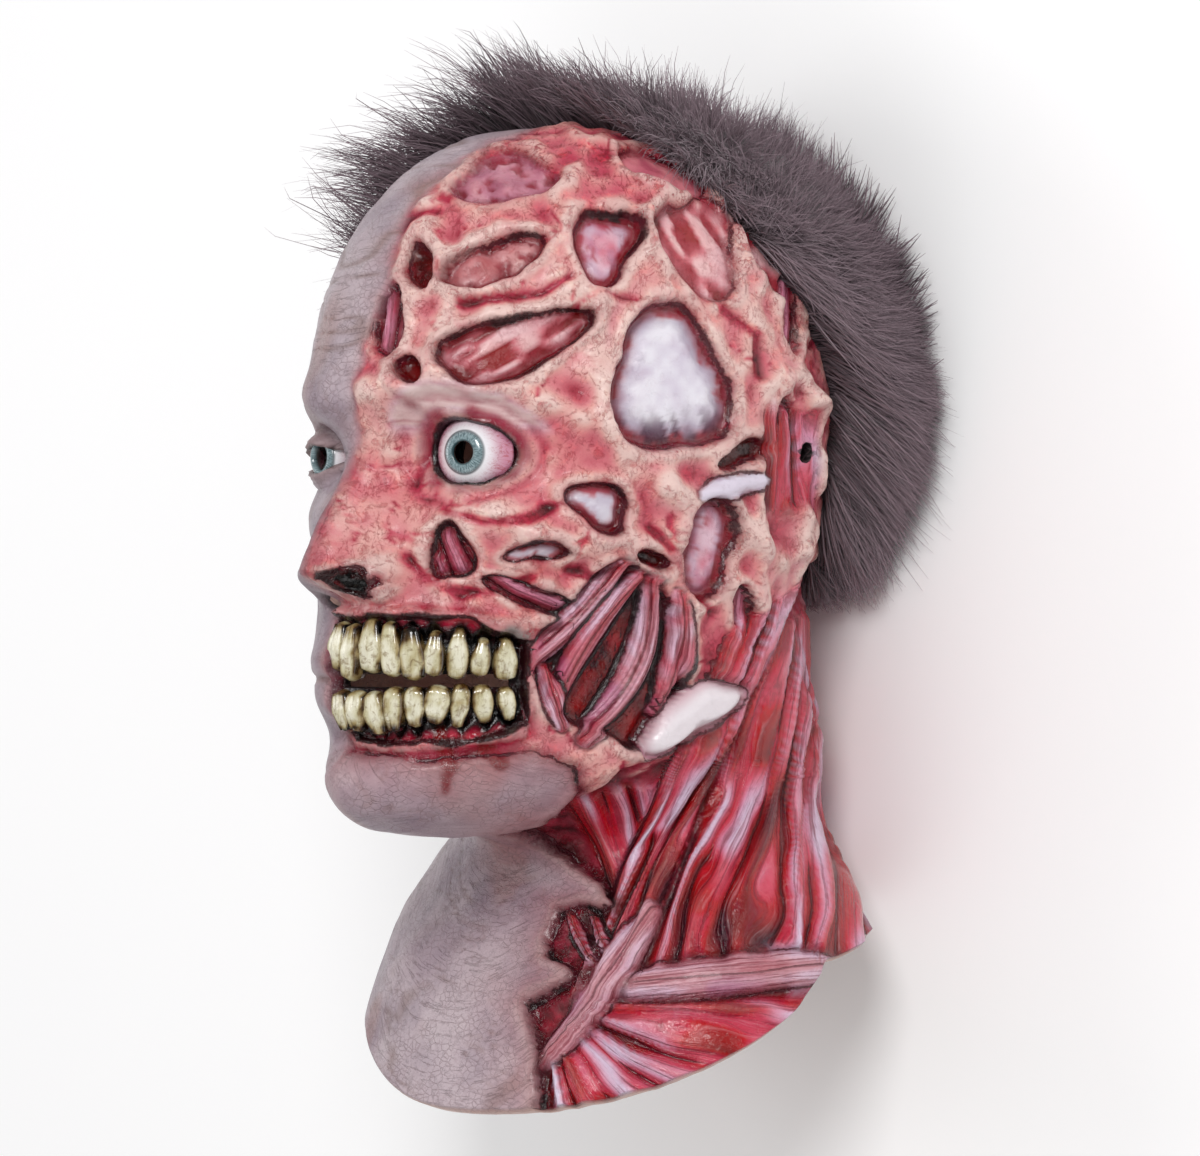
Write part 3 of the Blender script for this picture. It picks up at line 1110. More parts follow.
@made_once
def eye_material(name):
    """A bloodshot white round a pale grey-green ring, rimmed with red where it meets the socket."""
    wiring = Wiring(name, Coat_Weight=0.6, Coat_Roughness=0.05)
    across, up, _ = wiring.parts(wiring.attribute("gaze"))
    rho = wiring.math("SQRT", across * across + up * up)
    bearing = wiring.math("ARCTAN2", up, across)
    polar = wiring.node("CombineXYZ", {0: bearing * 5.0, 1: rho * 0.25}).outputs[0]
    veins = wiring.noise(polar, 0.9, 5, 0.6, 1.2).near(0.5, 0.03) * rho.spread(8.0, 13.5)
    ring = wiring.blend(wiring.noise(polar, 0.35, 3).spread(0.35, 0.65), "#56696E", "#8FA2A6")
    colour = wiring.blend(rho.spread(8.5, 15.0), "#EAE8EC", "#C07C94")
    colour = wiring.blend(veins * 0.65, colour, "#A8303C")
    colour = wiring.blend(rho.fall(7.2, 8.4), colour, ring)
    colour = wiring.blend(rho.near(7.9, 0.9) * 0.75, colour, "#46585C")
    colour = wiring.blend(rho.fall(4.3, 5.0), colour, "#31484C")
    wiring.bump(rho.fall(7.4, 8.4) + veins * 0.2, 0.4, 0.6)
    return wiring.finish(colour, 0.14)


@made_once
def fur_material(name):
    """Matt grey-brown fur, dark at the roots and paler and finer towards the tips."""
    wiring = Wiring(name, Sheen_Weight=0.25, Sheen_Roughness=0.4, Specular_IOR_Level=0.35)
    hair = bpy.context.scene.mask_fur
    shade = wiring.number("shade")
    colour = wiring.blend(wiring.number("tip"), (*hair.root_colour, 1), (*hair.tip_colour, 1))
    colour = wiring.blend(shade * 0.55, colour, "#B3A29C", "SOFT_LIGHT")
    colour = wiring.blend(shade.spread(0.5, 0.95, 0.0, 0.45), colour, "#A8949E")
    colour = wiring.blend(shade.spread(0.05, 0.45, 0.5, 0.0), colour, "#2E2527")
    streak = wiring.noise(wiring.scaled(wiring.attribute("grain"), (1, 0.05, 1)), 0.6, 3)
    colour = wiring.blend(streak.spread(0.4, 0.62, 0.3, 0.0), colour, "#3A302F")
    wiring.bump(streak, 0.8, 0.7)
    return wiring.finish(colour, shade.spread(0.0, 1.0, 0.72, 0.5))


# Meshes


def mesh_from(bm, name):
    """The finished mesh."""
    mesh = bpy.data.meshes.new(name)
    bm.to_mesh(mesh)
    bm.free()
    return mesh


def closed_mesh_from(bm, name):
    """A mesh whose faces look outwards."""
    bmesh.ops.recalc_face_normals(bm, faces=bm.faces)
    return mesh_from(bm, name)


def linked(name, data):
    """A new object in the scene."""
    item = bpy.data.objects.new(name, data)
    bpy.context.scene.collection.objects.link(item)
    return item


def add_piece(name, mesh, material, node):
    """A finished piece: smooth, painted, riding on the one body and standing for its CAD node."""
    mesh.name = name
    mesh.polygons.foreach_set("use_smooth", np.ones(len(mesh.polygons), bool))
    mesh.materials.clear()
    mesh.materials.append(material)
    piece = linked(name, mesh)
    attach(piece, "root")
    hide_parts(node)
    return piece


def seated_grid(rows, columns, spans):
    """A grid whose points carry their seat, counted along the rows. With as many spans as columns,
    each row ends on its own first seat."""
    bm = bmesh.new()
    bmesh.ops.create_grid(bm, x_segments=spans, y_segments=rows - 1, size=1)
    seat = bm.verts.layers.int.new("seat")
    for point in bm.verts:
        column = round((point.co.x + 1) / 2 * spans) % columns
        row = round((point.co.y + 1) / 2 * (rows - 1))
        point[seat] = row * columns + column
    return bm, seat


def dress(mesh, fields):
    """Turns the seats of a mesh's points into fields: one value or row of values for each seat."""
    layer = mesh.attributes["seat"]
    seats = np.zeros(len(mesh.vertices), np.int32)
    layer.data.foreach_get("value", seats)
    mesh.attributes.remove(layer)
    kinds = {1: ("FLOAT", "value"), 3: ("FLOAT_VECTOR", "vector"), 4: ("FLOAT_COLOR", "color")}
    for name, rows in fields.items():
        kind, part = kinds[rows.shape[1]]
        attribute = mesh.attributes.new(name, kind, "POINT")
        attribute.data.foreach_set(part, rows[seats].astype(np.float32).ravel())
    return seats


def closed_piece(name, places, fields, material, node):
    """A closed piece from rows of places that run round it, from one pole to the other."""
    rows, columns = places.shape[:2]
    places[0] = places[0].mean(0)
    places[-1] = places[-1].mean(0)
    bm, seat = seated_grid(rows, columns, columns)
    flat = places.reshape(-1, 3) * MM
    for point in bm.verts:
        point.co = flat[point[seat]]
    bmesh.ops.remove_doubles(bm, verts=bm.verts, dist=1e-6)
    bmesh.ops.triangulate(bm, faces=bm.faces, quad_method="SHORT_EDGE")
    mesh = closed_mesh_from(bm, name)
    dress(mesh, {key: field.reshape(rows * columns, -1) for key, field in fields.items()})
    return add_piece(name, mesh, material, node)


def cut_away(piece, cutters):
    """Takes the cutters out of a closed piece, keeps its paint and inks what was cut open."""
    for cutter in cutters:
        cutter.data.materials.append(piece.data.materials[0])
        modifier = piece.modifiers.new("cut", "BOOLEAN")
        modifier.operation = "DIFFERENCE"
        modifier.solver = "MANIFOLD"
        modifier.object = cutter
        shaped = bpy.data.meshes.new_from_object(piece.evaluated_get(bpy.context.evaluated_depsgraph_get()))
        piece.modifiers.clear()
        piece.data = shaped
        bpy.data.objects.remove(cutter)
    shaped.name = piece.name
    for point in shaped.attributes["paint"].data:
        if min(point.color) > 0.99:
            point.color = (*rgb(INK), 1)


def drill(start, heading, radius, length):
    """A round cutter from a point along a heading."""
    bm = bmesh.new()
    heading = Vector(heading).normalized()
    place = Matrix.Translation((Vector(start) + heading * length / 2) * MM)
    turn = heading.to_track_quat("Z", "Y").to_matrix().to_4x4()
    size = {"radius1": radius * MM, "radius2": radius * MM, "depth": length * MM}
    bmesh.ops.create_cone(bm, cap_ends=True, segments=40, matrix=place @ turn, **size)
    return linked("cutter", closed_mesh_from(bm, "cutter"))


def row_bow(degrees):
    """How much of its bow a row of teeth has: none in front, all at the back of the cheek."""
    return smooth(degrees, 12, TEETH_TO + 4)


def place_at(degrees, height):
    """The place on the carved hollow of the mouth at an angle and a height, with its outward normal."""
    angle = np.radians(float(degrees))
    low, high = 4.0, 13.0
    for _ in range(30):
        middle = (low + high) / 2
        if form(angle, np.array(middle))[1] > height:
            low = middle
        else:
            high = middle
    return uncarved(np.array(angle), np.array(low), np.array(-CARVING))


def bite_gap():
    """A cutter between the rows of teeth, right through to the inside."""
    hinge = Vector((0, FACE["mouth"] - BITE_GAP / 2, 108))
    reach, steps = 160, 10
    bearings = []
    for degrees in (MOUTH["from"] + 2, MOUTH["to"] - 3):
        point, _ = place_at(degrees, FACE["mouth"])
        bearings.append(math.atan2(point[2] - hinge.z, point[0]))
    first, last = bearings
    bm = bmesh.new()
    corners = [bm.verts.new(hinge * MM)]
    for k in range(steps + 1):
        bearing = first + (last - first) * k / steps
        rim = hinge + reach * Vector((math.cos(bearing), 0, math.sin(bearing)))
        corners.append(bm.verts.new(rim * MM))
    grown = bmesh.ops.extrude_face_region(bm, geom=[bm.faces.new(corners)])
    raised = [item for item in grown["geom"] if isinstance(item, bmesh.types.BMVert)]
    bmesh.ops.translate(bm, verts=raised, vec=(0, BITE_GAP * MM, 0))
    return linked("cutter", closed_mesh_from(bm, "cutter"))


# Pieces


def backing_at(angle, v):
    """How much thicker the latex is, behind the flayed side's carving."""
    facing = outward_at(angle, v) @ heading_at(VIEW_TURN)
    return BACKING * smooth(form(angle, v)[..., 0], -24, -6) * smooth(facing, -0.2, 0.15)


def make_shell(sizes):
    """The latex casting: the carved skin, its rolled edge at the bib and the raw latex inside."""
    turn = np.arange(sizes.columns) / sizes.columns * 2 * math.pi
    angles = VIEW_TURN * 1.2 + turn - 0.55 * np.sin(turn)  # crowded towards the flayed cheek
    share = np.linspace(0, 1, sizes.rows)
    angle, v = np.meshgrid(angles, np.interp(share, (0, 0.035, 0.7, 1), (0, 1, 13.5, LAST)))
    coat = coat_of(angle, v)
    deepest = WALL + backing_at(angle, v) - 0.9
    outer = coat.place + coat.outward * np.maximum(coat.height, -deepest)[..., None]
    outer[..., 2] = np.maximum(outer[..., 2], 0)
    share = np.linspace(0, 1, LINING_ROWS)
    angle, v = np.meshgrid(angles, np.interp(share, (0, 0.15, 0.75, 1), (LAST, 15, 6, 0)))
    lining, _ = uncarved(angle, v, -WALL - backing_at(angle, v))
    fall = outer[-1] - outer[-2]
    fall /= np.linalg.norm(fall, axis=-1, keepdims=True)
    rim = [outer[-1] + (lining[0] - outer[-1]) * k / 3 + fall * 0.9 for k in (1, 2)]
    inner = np.concatenate([rim, lining])
    raw = lumps(26, 201, *np.moveaxis(inner, -1, 0)) * 0.5 + 0.5
    colour = np.concatenate([coat.colour, ramp(raw, RAW_LATEX)]) * MIXED
    fields = {"paint": np.concatenate([colour, np.ones(colour.shape[:-1] + (1,))], -1)}
    inside = {"wet": 0.25, "flesh": 0, "grain": 0, "rim": Coat.FAR, "ink": 0, "lane": 0, "crust": 0.2}
    for key, value in inside.items():
        field = getattr(coat, key)
        fields[key] = np.concatenate([field, np.full(inner.shape[:2] + field.shape[2:], value)])
    places = np.concatenate([outer, inner])
    piece = closed_piece("mask_skin", places, fields, latex_material(), "mask_shell")
    cutters = [bite_gap(), drill((60, 8, 82), (1, 0, -0.28), 4, 50)]
    for eye in EYES.values():
        heading = Vector(heading_at(math.radians(eye["look"])))
        cutters.append(drill(Vector(eye["at"]) - heading * 12, heading, 8.5, 26))
    cut_away(piece, cutters)


def add_tooth(bm, dice, degrees, height, half, upper):
    """One rounded block with a worn edge, stained at the root."""
    paint = bm.verts.layers.float_color["paint"]
    wet = bm.verts.layers.float["wet"]
    point, outward = place_at(degrees, height)
    side = np.cross((0, 1, 0), outward)
    side /= np.linalg.norm(side)
    up = np.cross(outward, side)
    size = np.array(half) * dice.uniform((0.8, 0.8, 0.9), (1.1, 1.08, 1.1))
    size = size * (1 - 0.12 * row_bow(degrees))
    twist = dice.uniform(-0.2, 0.2)
    c, s = math.cos(twist), math.sin(twist)
    side, up = side * c + up * s, up * c - side * s
    first = len(bm.verts)
    made = bmesh.ops.create_cube(bm, size=2)
    edges = list({edge for corner in made["verts"] for edge in corner.link_edges})
    bmesh.ops.subdivide_edges(bm, edges=edges, cuts=7, use_grid_fill=True)
    shade = dice.uniform(-0.12, 0.08)
    seed = int(dice.integers(1000))
    for corner in list(bm.verts)[first:]:
        cube = np.array(corner.co)
        block = cube * 0.6 + cube / np.linalg.norm(cube) * 0.4 * 1.22
        root = block[1] if upper else -block[1]  # 1 at the gum, -1 at the biting edge
        narrow = 1 - 0.34 * smooth(root, -0.2, 1) - 0.16 * smooth(-root, 0.5, 1.1)
        depth = block[2] * (1 - 0.25 * abs(block[1])) + 0.05 * math.cos(block[0] * 9) * (block[2] > 0)
        spot = point + side * (block[0] * narrow * size[0]) + up * (block[1] * size[1])
        spot = spot + outward * (depth * size[2] + 0.8)
        corner.co = spot * MM
        grime = lumps(3, seed, *spot[:, None])[0]
        age = 0.84 + shade - 0.6 * smooth(root, 0.25, 0.95) - 0.4 * smooth(-root, 0.55, 1.05)
        age = age - 0.5 * smooth(abs(block[0]), 0.5, 0.95) + 0.28 * grime
        corner[paint] = (*ramp(age, ENAMEL) * MIXED, 1)
        corner[wet] = 0.8


def make_teeth():
    """Two rows of long yellowed teeth, each a little out of line."""
    bm = bmesh.new()
    dice = np.random.default_rng(5)
    bm.verts.layers.float_color.new("paint")
    bm.verts.layers.float.new("wet")
    for count, middle, bow, half in TEETH:
        for k in range(count):
            degrees = TEETH_FROM + (TEETH_TO - TEETH_FROM) * k / (count - 1)
            height = middle + bow * row_bow(degrees) + dice.uniform(-1.4, 1.4)
            add_tooth(bm, dice, degrees, height, half, middle > FACE["mouth"])
    add_piece("teeth", closed_mesh_from(bm, "teeth"), enamel_material(), "mask_shell")


def eye_cap(radius):
    """The front of an eyeball of latex, with a hole for its pupil and swollen round it."""
    bm = bmesh.new()
    bmesh.ops.create_uvsphere(bm, u_segments=96, v_segments=64, radius=radius)
    hole = math.asin(PUPIL / radius)
    rings = sorted({round(p.co.z, 6) for p in bm.verts})
    nearest = min(rings, key=lambda z: abs(math.acos(max(-1, min(1, z / radius))) - hole))
    for p in bm.verts:
        if abs(p.co.z - nearest) < 1e-5:
            scale = PUPIL / math.hypot(p.co.x, p.co.y)
            p.co = (p.co.x * scale, p.co.y * scale, math.sqrt(radius**2 - PUPIL**2))
    keep_from = radius * math.cos(math.radians(72))
    gone = [p for p in bm.verts if p.co.z > nearest + 1e-4 or p.co.z < keep_from]
    bmesh.ops.delete(bm, geom=gone, context="VERTS")
    gaze = bm.verts.layers.float_vector.new("gaze")
    for p in bm.verts:
        p[gaze] = p.co
        swell = 0.9 * bell(math.hypot(p.co.x, p.co.y) - PUPIL - 2.2, 2.4)
        p.co += p.co.normalized() * swell
    bmesh.ops.recalc_face_normals(bm, faces=bm.faces)
    bmesh.ops.solidify(bm, geom=bm.faces[:], thickness=2.4)
    return bm


def make_eyes():
    """Sets each eyeball in its socket, turned the way it looks."""
    for name, eye in EYES.items():
        bm = eye_cap(eye["radius"])
        turn = Matrix.Rotation(math.radians(eye["look"]), 3, "Y")
        bmesh.ops.rotate(bm, verts=bm.verts, matrix=turn)
        bmesh.ops.translate(bm, verts=bm.verts, vec=eye["at"])
        bmesh.ops.scale(bm, verts=bm.verts, vec=(MM, MM, MM))
        mesh = closed_mesh_from(bm, "eye")
        add_piece(f"{name}_eye", mesh, eye_material(), "mask_shell")


def make_ear():
    """The ear of the skinned side: a rolled rim, an inner ridge, a deep bowl, its flaps and a lobe."""
    bm = bmesh.new()
    bmesh.ops.create_uvsphere(bm, u_segments=120, v_segments=90, radius=1)
    paint = bm.verts.layers.float_color.new("paint")
    wet = bm.verts.layers.float.new("wet")
    ball = np.array([p.co for p in bm.verts])
    up, front, out = ball[:, 1], ball[:, 2], -ball[:, 0]
    reach = np.hypot(up, front)
    bearing = np.degrees(np.arctan2(up, -front))  # 0 at the back, 90 at the top

    def ring(at, wide, height, first, last):
        return height * bell(reach - at, wide) * plateau(bearing, first, last, 16)

    relief = ring(0.9, 0.1, 3.4, -48, 165) + ring(0.74, 0.08, -3.6, -40, 140) + ring(0.56, 0.09, 2.6, -75, 80)
    relief -= 8.5 * (1 - smooth(np.hypot(up + 0.06, (front - 0.16) * 1.2), 0.16, 0.42))
    relief += 1.6 * bell(up - 0.12, 0.06) * plateau(front, 0.1, 0.7, 0.1)
    relief += 4.5 * hump(up, front, -0.1, 0.62, 0.16, 0.13) + 2.6 * hump(up, front, -0.46, 0.16, 0.12, 0.18)
    relief += 1.8 * hump(up, front, -0.8, 0.1, 0.2, 0.34) - 2.5 * hump(up, front, -0.36, 0.46, 0.08, 0.1)
    relief *= smooth(out, -0.02, 0.12)
    narrow = 1 - 0.4 * smooth(-up, 0.1, 0.7) + 0.3 * smooth(-up, 0.7, 1)
    places = np.stack([-out * 6.5 - relief, up * 31, front * 18 * narrow - 3 * up], -1)
    tone = 0.48 + 0.1 * lumps(9, 301, *places.T) + 0.07 * relief
    colour = ramp(tone, SKIN) * MIXED
    move_to(colour, rgb("#4A2430"), 0.95 * smooth(-relief, 0.3, 4)[:, None])
    turn = Matrix.Rotation(math.radians(-22), 3, "Y") @ Matrix.Rotation(math.radians(-12), 3, "X")
    for point, place, shade in zip(bm.verts, places, colour):
        point.co = (turn @ Vector(place) + Vector((-92, -4, 84))) * MM
        point[paint] = (*shade, 1)
        point[wet] = 0.1
    add_piece("right_ear", closed_mesh_from(bm, "ear"), latex_material(), "mask_shell")


# The hairpiece: a ruff of fur seen here from the face, with the scalp as an oval

HAIR = {"middle": 38, "wide": 90, "above": 98, "below": 75}
HAIRLINE = (46, 120)  # its height above the floor at the sides and over the crown
NAPE = (0, -34, 60)  # inside the neck, where rays for the nape are aimed
NAPE_DROP, NAPE_WIDE = 34, 100  # how much lower the hairline is there, and how wide the nape is
REACH = (16, 32)  # how far the fur stands beyond the scalp at the sides and over the crown
LEAN = (4, 44)  # and how far forward of the hairline it leans
PRESSED = 0.5  # the lowest that a strand lies over the floor
TUFTS, LAYERS = 96, 6  # tufts round the ruff, and how many from the floor to the hairline
SEGMENTS = 4  # faces along a strand

# The outside of the underfur, from the middle of the pressed back out to the tips and forward to
# the hairline: the share of the oval, shares of the reach, of the hairline's height and of the
# lean, and how much lower and further in it is at the sides.
UNDERFUR = [
    (0, 0, 0, 0, 0),
    (0.25, 0, 0, 0, 0),
    (0.5, 0, 0, 0, 0),
    (0.7, 0, 0, 0, 0),
    (0.84, 0.06, 0.04, 0, 0),
    (0.9, 0.2, 0.14, 0, 0),
    (0.96, 0.34, 0.3, 0, 0.1),
    (0.99, 0.38, 0.5, 0, 0.3),
    (0.99, 0.36, 0.68, 0.08, 0.6),
    (0.98, 0.26, 0.8, 0.12, 0.85),
    (0.97, 0.12, 0.86, 0.08, 1),
    (0.95, 0, 0.84, 0, 1),
]


def ruff_at(turn):
    """The ruff at a turn round its oval: the hairline's height, the fur's reach and lean, and how
    high up the head it is."""
    up = np.sin(turn)
    skinned = smooth(-np.cos(turn), -0.35, 0.35)
    high = (1 - skinned) * smooth(up, -0.15, 1) + skinned * smooth(up, -0.1, 0.5)
    tuft = 1 + 0.1 * np.sin(12 * turn) + 0.08 * np.sin(5 * turn + 1)
    line, reach = (low + (top - low) * high for low, top in (HAIRLINE, REACH))
    line = line - NAPE_DROP * smooth(-up, 0.66, 1)
    lean = LEAN[0] + (LEAN[1] - LEAN[0]) * high * (0.5 + 0.5 * skinned)
    return line, reach * (0.8 + 0.35 * skinned) * tuft, lean, high


def oval(turn, inner, beyond, height):
    """A point round the scalp: a share of the oval, a distance beyond it and a height."""
    up = np.sin(turn)
    above = np.where(up > 0, HAIR["above"], HAIR["below"])
    y = HAIR["middle"] + up * (above * inner + beyond * np.where(up > 0, 1, 0.4))
    return np.stack([np.cos(turn) * (HAIR["wide"] * inner + beyond), y, height + 0 * turn], -1)


class Scalp:
    """Finds the latex under the fur, from a table of rays cast in at it."""

    TURNS, HEIGHTS = 120, 26
    LOWEST, HIGHEST = 3.0, 128.0

    def __init__(self, shell):
        mesh = shell.data
        tree = BVHTree.FromPolygons([p.co for p in mesh.vertices], [f.vertices[:] for f in mesh.polygons])
        self.tree = tree
        self.table = np.zeros((self.TURNS, self.HEIGHTS, 3))
        for i in range(self.TURNS):
            turn = np.array(i / self.TURNS * 2 * math.pi)
            found = Vector((0, HAIR["middle"] * MM, 0))
            for j in reversed(range(self.HEIGHTS)):
                height = self.LOWEST + (self.HIGHEST - self.LOWEST) * j / (self.HEIGHTS - 1)
                start = Vector(oval(turn, 1, 120, height) * MM)
                goal = Vector((0, HAIR["middle"] * MM, start.z))
                if abs(start.x) < NAPE_WIDE * MM and start.y < 0:
                    bearing = 2.3 * (turn - 1.5 * math.pi)
                    goal = Vector(NAPE) * MM
                    start = goal + Vector((math.sin(bearing), 0, -math.cos(bearing))) * 150 * MM
                found = tree.ray_cast(start, (goal - start).normalized())[0] or found
                self.table[i, j] = np.array(found) / MM

    def at(self, turn, height):
        """Points of the latex at turns round the oval and heights over the floor."""
        i = (turn / (2 * math.pi) * self.TURNS) % self.TURNS
        j = np.clip((height - self.LOWEST) / (self.HIGHEST - self.LOWEST), 0, 1) * (self.HEIGHTS - 1.001)
        i0, j0 = np.floor(i).astype(int), np.floor(j).astype(int)
        fi, fj = (i - i0)[..., None], (j - j0)[..., None]
        a, b = self.table[i0 % self.TURNS, j0], self.table[(i0 + 1) % self.TURNS, j0]
        c, d = self.table[i0 % self.TURNS, j0 + 1], self.table[(i0 + 1) % self.TURNS, j0 + 1]
        return (a * (1 - fi) + b * fi) * (1 - fj) + (c * (1 - fi) + d * fi) * fj


def make_fur_base(scalp):
    """The dense underfur and its backing: a thick ruff that follows the latex on its inner side."""
    turns = np.arange(200) / 200 * 2 * math.pi
    line, reach, lean, high = ruff_at(turns)
    centre = np.array([0, HAIR["middle"], 60])
    outer = []
    for share, beyond, height, forward, lower in UNDERFUR:
        sunk = lower * (1 - high)
        level = 1.6 + line * (height - 0.16 * sunk) + lean * forward
        row = oval(turns, share - 0.1 * sunk, reach * beyond, level)
        bark = lumps(5, 401, 40 * turns, 0.03 * level) + 0.8 * lumps(11, 402, *row.T)
        away = row - centre
        row += away / np.linalg.norm(away, axis=-1, keepdims=True) * (bark * beyond)[:, None]
        row[:, 2] = np.maximum(row[:, 2], 1.2)
        outer.append(row)
    steps = 14
    inner = []
    for k in range(steps):
        level = line * (0.86 - 0.12 * (1 - high)) * (1 - k / steps) + 3.4 * k / steps
        inner.append(scalp.at(turns, level))
    inner += [inner[-1] * share + centre * (1, 1, 0) * (1 - share) for share in (0.75, 0.5, 0.25, 0)]
    places = np.array(outer + inner)
    for spot in places[len(outer) :].reshape(-1, 3):
        found, normal, _, _ = scalp.tree.find_nearest(Vector(spot) * MM)
        spot[:] = np.array(found - normal * 0.9 * MM) / MM
    inward = np.linalg.norm(places - np.array([0, HAIR["middle"], 40]), axis=-1)
    fields = {
        "tip": np.full(inward.shape, 0.2),
        "shade": 0.2 + 0.25 * lumps(9, 403, *np.moveaxis(places, -1, 0)),
        "grain": np.stack([turns * 90 + 0 * inward, inward, np.ones_like(inward)], -1),
    }
    closed_piece("fur_base", places, fields, fur_material(), "hairpiece")


def fur_guides(scalp, dice, count, zone, turns=(0, 2 * math.pi)):
    """Roots, bends, tips and tones of strands that gather into tufts. The zone they grow in is given
    in shares of the hairline's height. At the sides they are combed back, and hang a little."""
    turn = dice.uniform(*turns, count) % (2 * math.pi)
    share = zone[0] + (zone[1] - zone[0]) * dice.random(count)
    line, reach, lean, high = ruff_at(turn)
    root = scalp.at(turn, 3.5 + (line - 3.5) * share)
    cell = np.floor(turn / (2 * math.pi) * TUFTS + 0.9 * np.sin(share * 31)).astype(int) % TUFTS
    layer = np.clip(np.floor(share * LAYERS), 0, LAYERS).astype(int)
    tuft = dice.random((TUFTS, LAYERS + 1, 5))[cell, layer]
    gather = 0.2 + 0.6 * tuft[:, 0]
    middle = (cell + 0.5) / TUFTS * 2 * math.pi
    tip_turn = turn + signed(middle - turn) * gather + 0.24 * (tuft[:, 1] - 0.5) + dice.normal(0, 0.03, count)
    stretch = (0.6 + 0.44 * tuft[:, 2]) * dice.uniform(0.52, 1.08, count)
    wisp = dice.random(count) < 0.09
    stretch = stretch * np.where(wisp, 1.28, 1)
    flayed = smooth(np.cos(turn), 0.1, 0.7)
    combed = (1 - high) * (0.5 + 0.5 * stretch)
    tip_share = np.clip(share**0.9 + 0.16 * (tuft[:, 3] - 0.5) + dice.normal(0, 0.04, count), 0, 1.1)
    tip_share = tip_share * (1 - 0.66 * combed)
    forward = smooth(share, 0.3, 1) * lean
    beyond = reach * (0.5 + 0.5 * smooth(share, 0, 0.35)) * stretch * (1 - 0.35 * flayed * (1 - share))
    tip = oval(tip_turn, 1, beyond, line * tip_share + forward * stretch)
    hanging = 1 - smooth(np.sin(turn), 0.35, 0.85)
    tip[:, 1] -= (8 + 18 * tuft[:, 4]) * (combed * hanging + 0.5 * flayed * high) * stretch
    under = smooth(-np.sin(turn), 0.82, 0.9)
    tip[:, 2] += (np.minimum(tip[:, 2], root[:, 2] - 1) - tip[:, 2]) * under
    tip[:, 1] -= 9 * dice.random(count) * smooth(-np.sin(turn), 0.3, 0.8)
    tip += dice.normal(0, 2.1, tip.shape) * np.where(wisp, 1.6, 1)[:, None]
    tip[:, 1] = np.maximum(tip[:, 1], HAIR_LOW[1] - 11 + 15 * dice.random(count))
    out = tip - root
    span = np.linalg.norm(out, axis=-1, keepdims=True)
    radial = root - np.array([0, HAIR["middle"], 0])
    radial[:, 2] = 0
    radial /= np.linalg.norm(radial, axis=-1, keepdims=True)
    lift = 0.2 * ((1 - under) * smooth(share, 0.08, 0.5))[:, None] * np.array([0, 0, 1])
    bend = root + 0.42 * out + (radial * 0.26 + lift) * span
    bend += dice.normal(0, 0.08, bend.shape) * span * smooth(share, 0, 0.4)[:, None]
    return root, bend, tip, 0.55 * tuft[:, 4] + 0.45 * dice.random(count)


def pressed_guides(dice, count):
    """Strands combed flat across the back of the head, under the mask's weight."""
    turn = dice.uniform(0, 2 * math.pi, count)
    start = np.sqrt(dice.random(count)) * 0.86
    _, reach, _, _ = ruff_at(turn)
    length = dice.uniform(0.16, 0.3, count)
    root = oval(turn, start, 0, 2.0 + dice.random(count))
    tip_turn = turn + dice.normal(0, 0.08, count)
    tip = oval(tip_turn, start + length, reach * 0.2 * start, 0.8 + dice.random(count) * 0.8)
    tip[:, 2] += 7 * smooth(start + length, 0.88, 1.1)
    return root, (root + tip) / 2 + np.array([0, 0, -0.6]), tip, dice.random(count)


def make_strands(name, guides, dice, thick):
    """Thousands of flat tapering strands, each a ribbon of a few faces."""
    root, bend, tip, tone = guides
    count = len(root)
    columns = 2 * count
    bm, seat = seated_grid(SEGMENTS + 1, columns, columns - 1)
    between = [face for face in bm.faces if min(corner[seat] % columns for corner in face.verts) % 2]
    bmesh.ops.delete(bm, geom=between, context="FACES")
    along = (np.arange(SEGMENTS + 1) / SEGMENTS)[:, None, None]
    line = root * (1 - along) ** 2 + bend * 2 * along * (1 - along) + tip * along**2
    way = np.gradient(line, axis=0)
    way /= np.linalg.norm(way, axis=-1, keepdims=True) + 1e-9
    flat = np.cross(way, dice.normal(size=(count, 3)) + 0.8 * np.array([1, 0, 1]))
    flat /= np.linalg.norm(flat, axis=-1, keepdims=True) + 1e-9
    width = thick * dice.uniform(0.7, 1.3, count)[:, None] * (1 - 0.85 * along**1.6)
    sides = np.stack([line - flat * width / 2, line + flat * width / 2], 2)
    sides[..., 2] = np.maximum(sides[..., 2], PRESSED)
    sides = np.clip(sides, HAIR_LOW - (6, 14, 0), HAIR_HIGH + (6, 6, 6))
    fields = {
        "tip": np.repeat(along[..., 0] * 0.85 + 0.1, columns, 1).reshape(-1, 1),
        "shade": np.tile(np.repeat(tone, 2), SEGMENTS + 1)[:, None],
        "grain": np.zeros(((SEGMENTS + 1) * columns, 3)),
    }
    mesh = mesh_from(bm, name)
    seats = dress(mesh, fields)
    mesh.vertices.foreach_set("co", (sides.reshape(-1, 3)[seats] * MM).astype(np.float32).ravel())
    add_piece(name, mesh, fur_material(), "hairpiece")


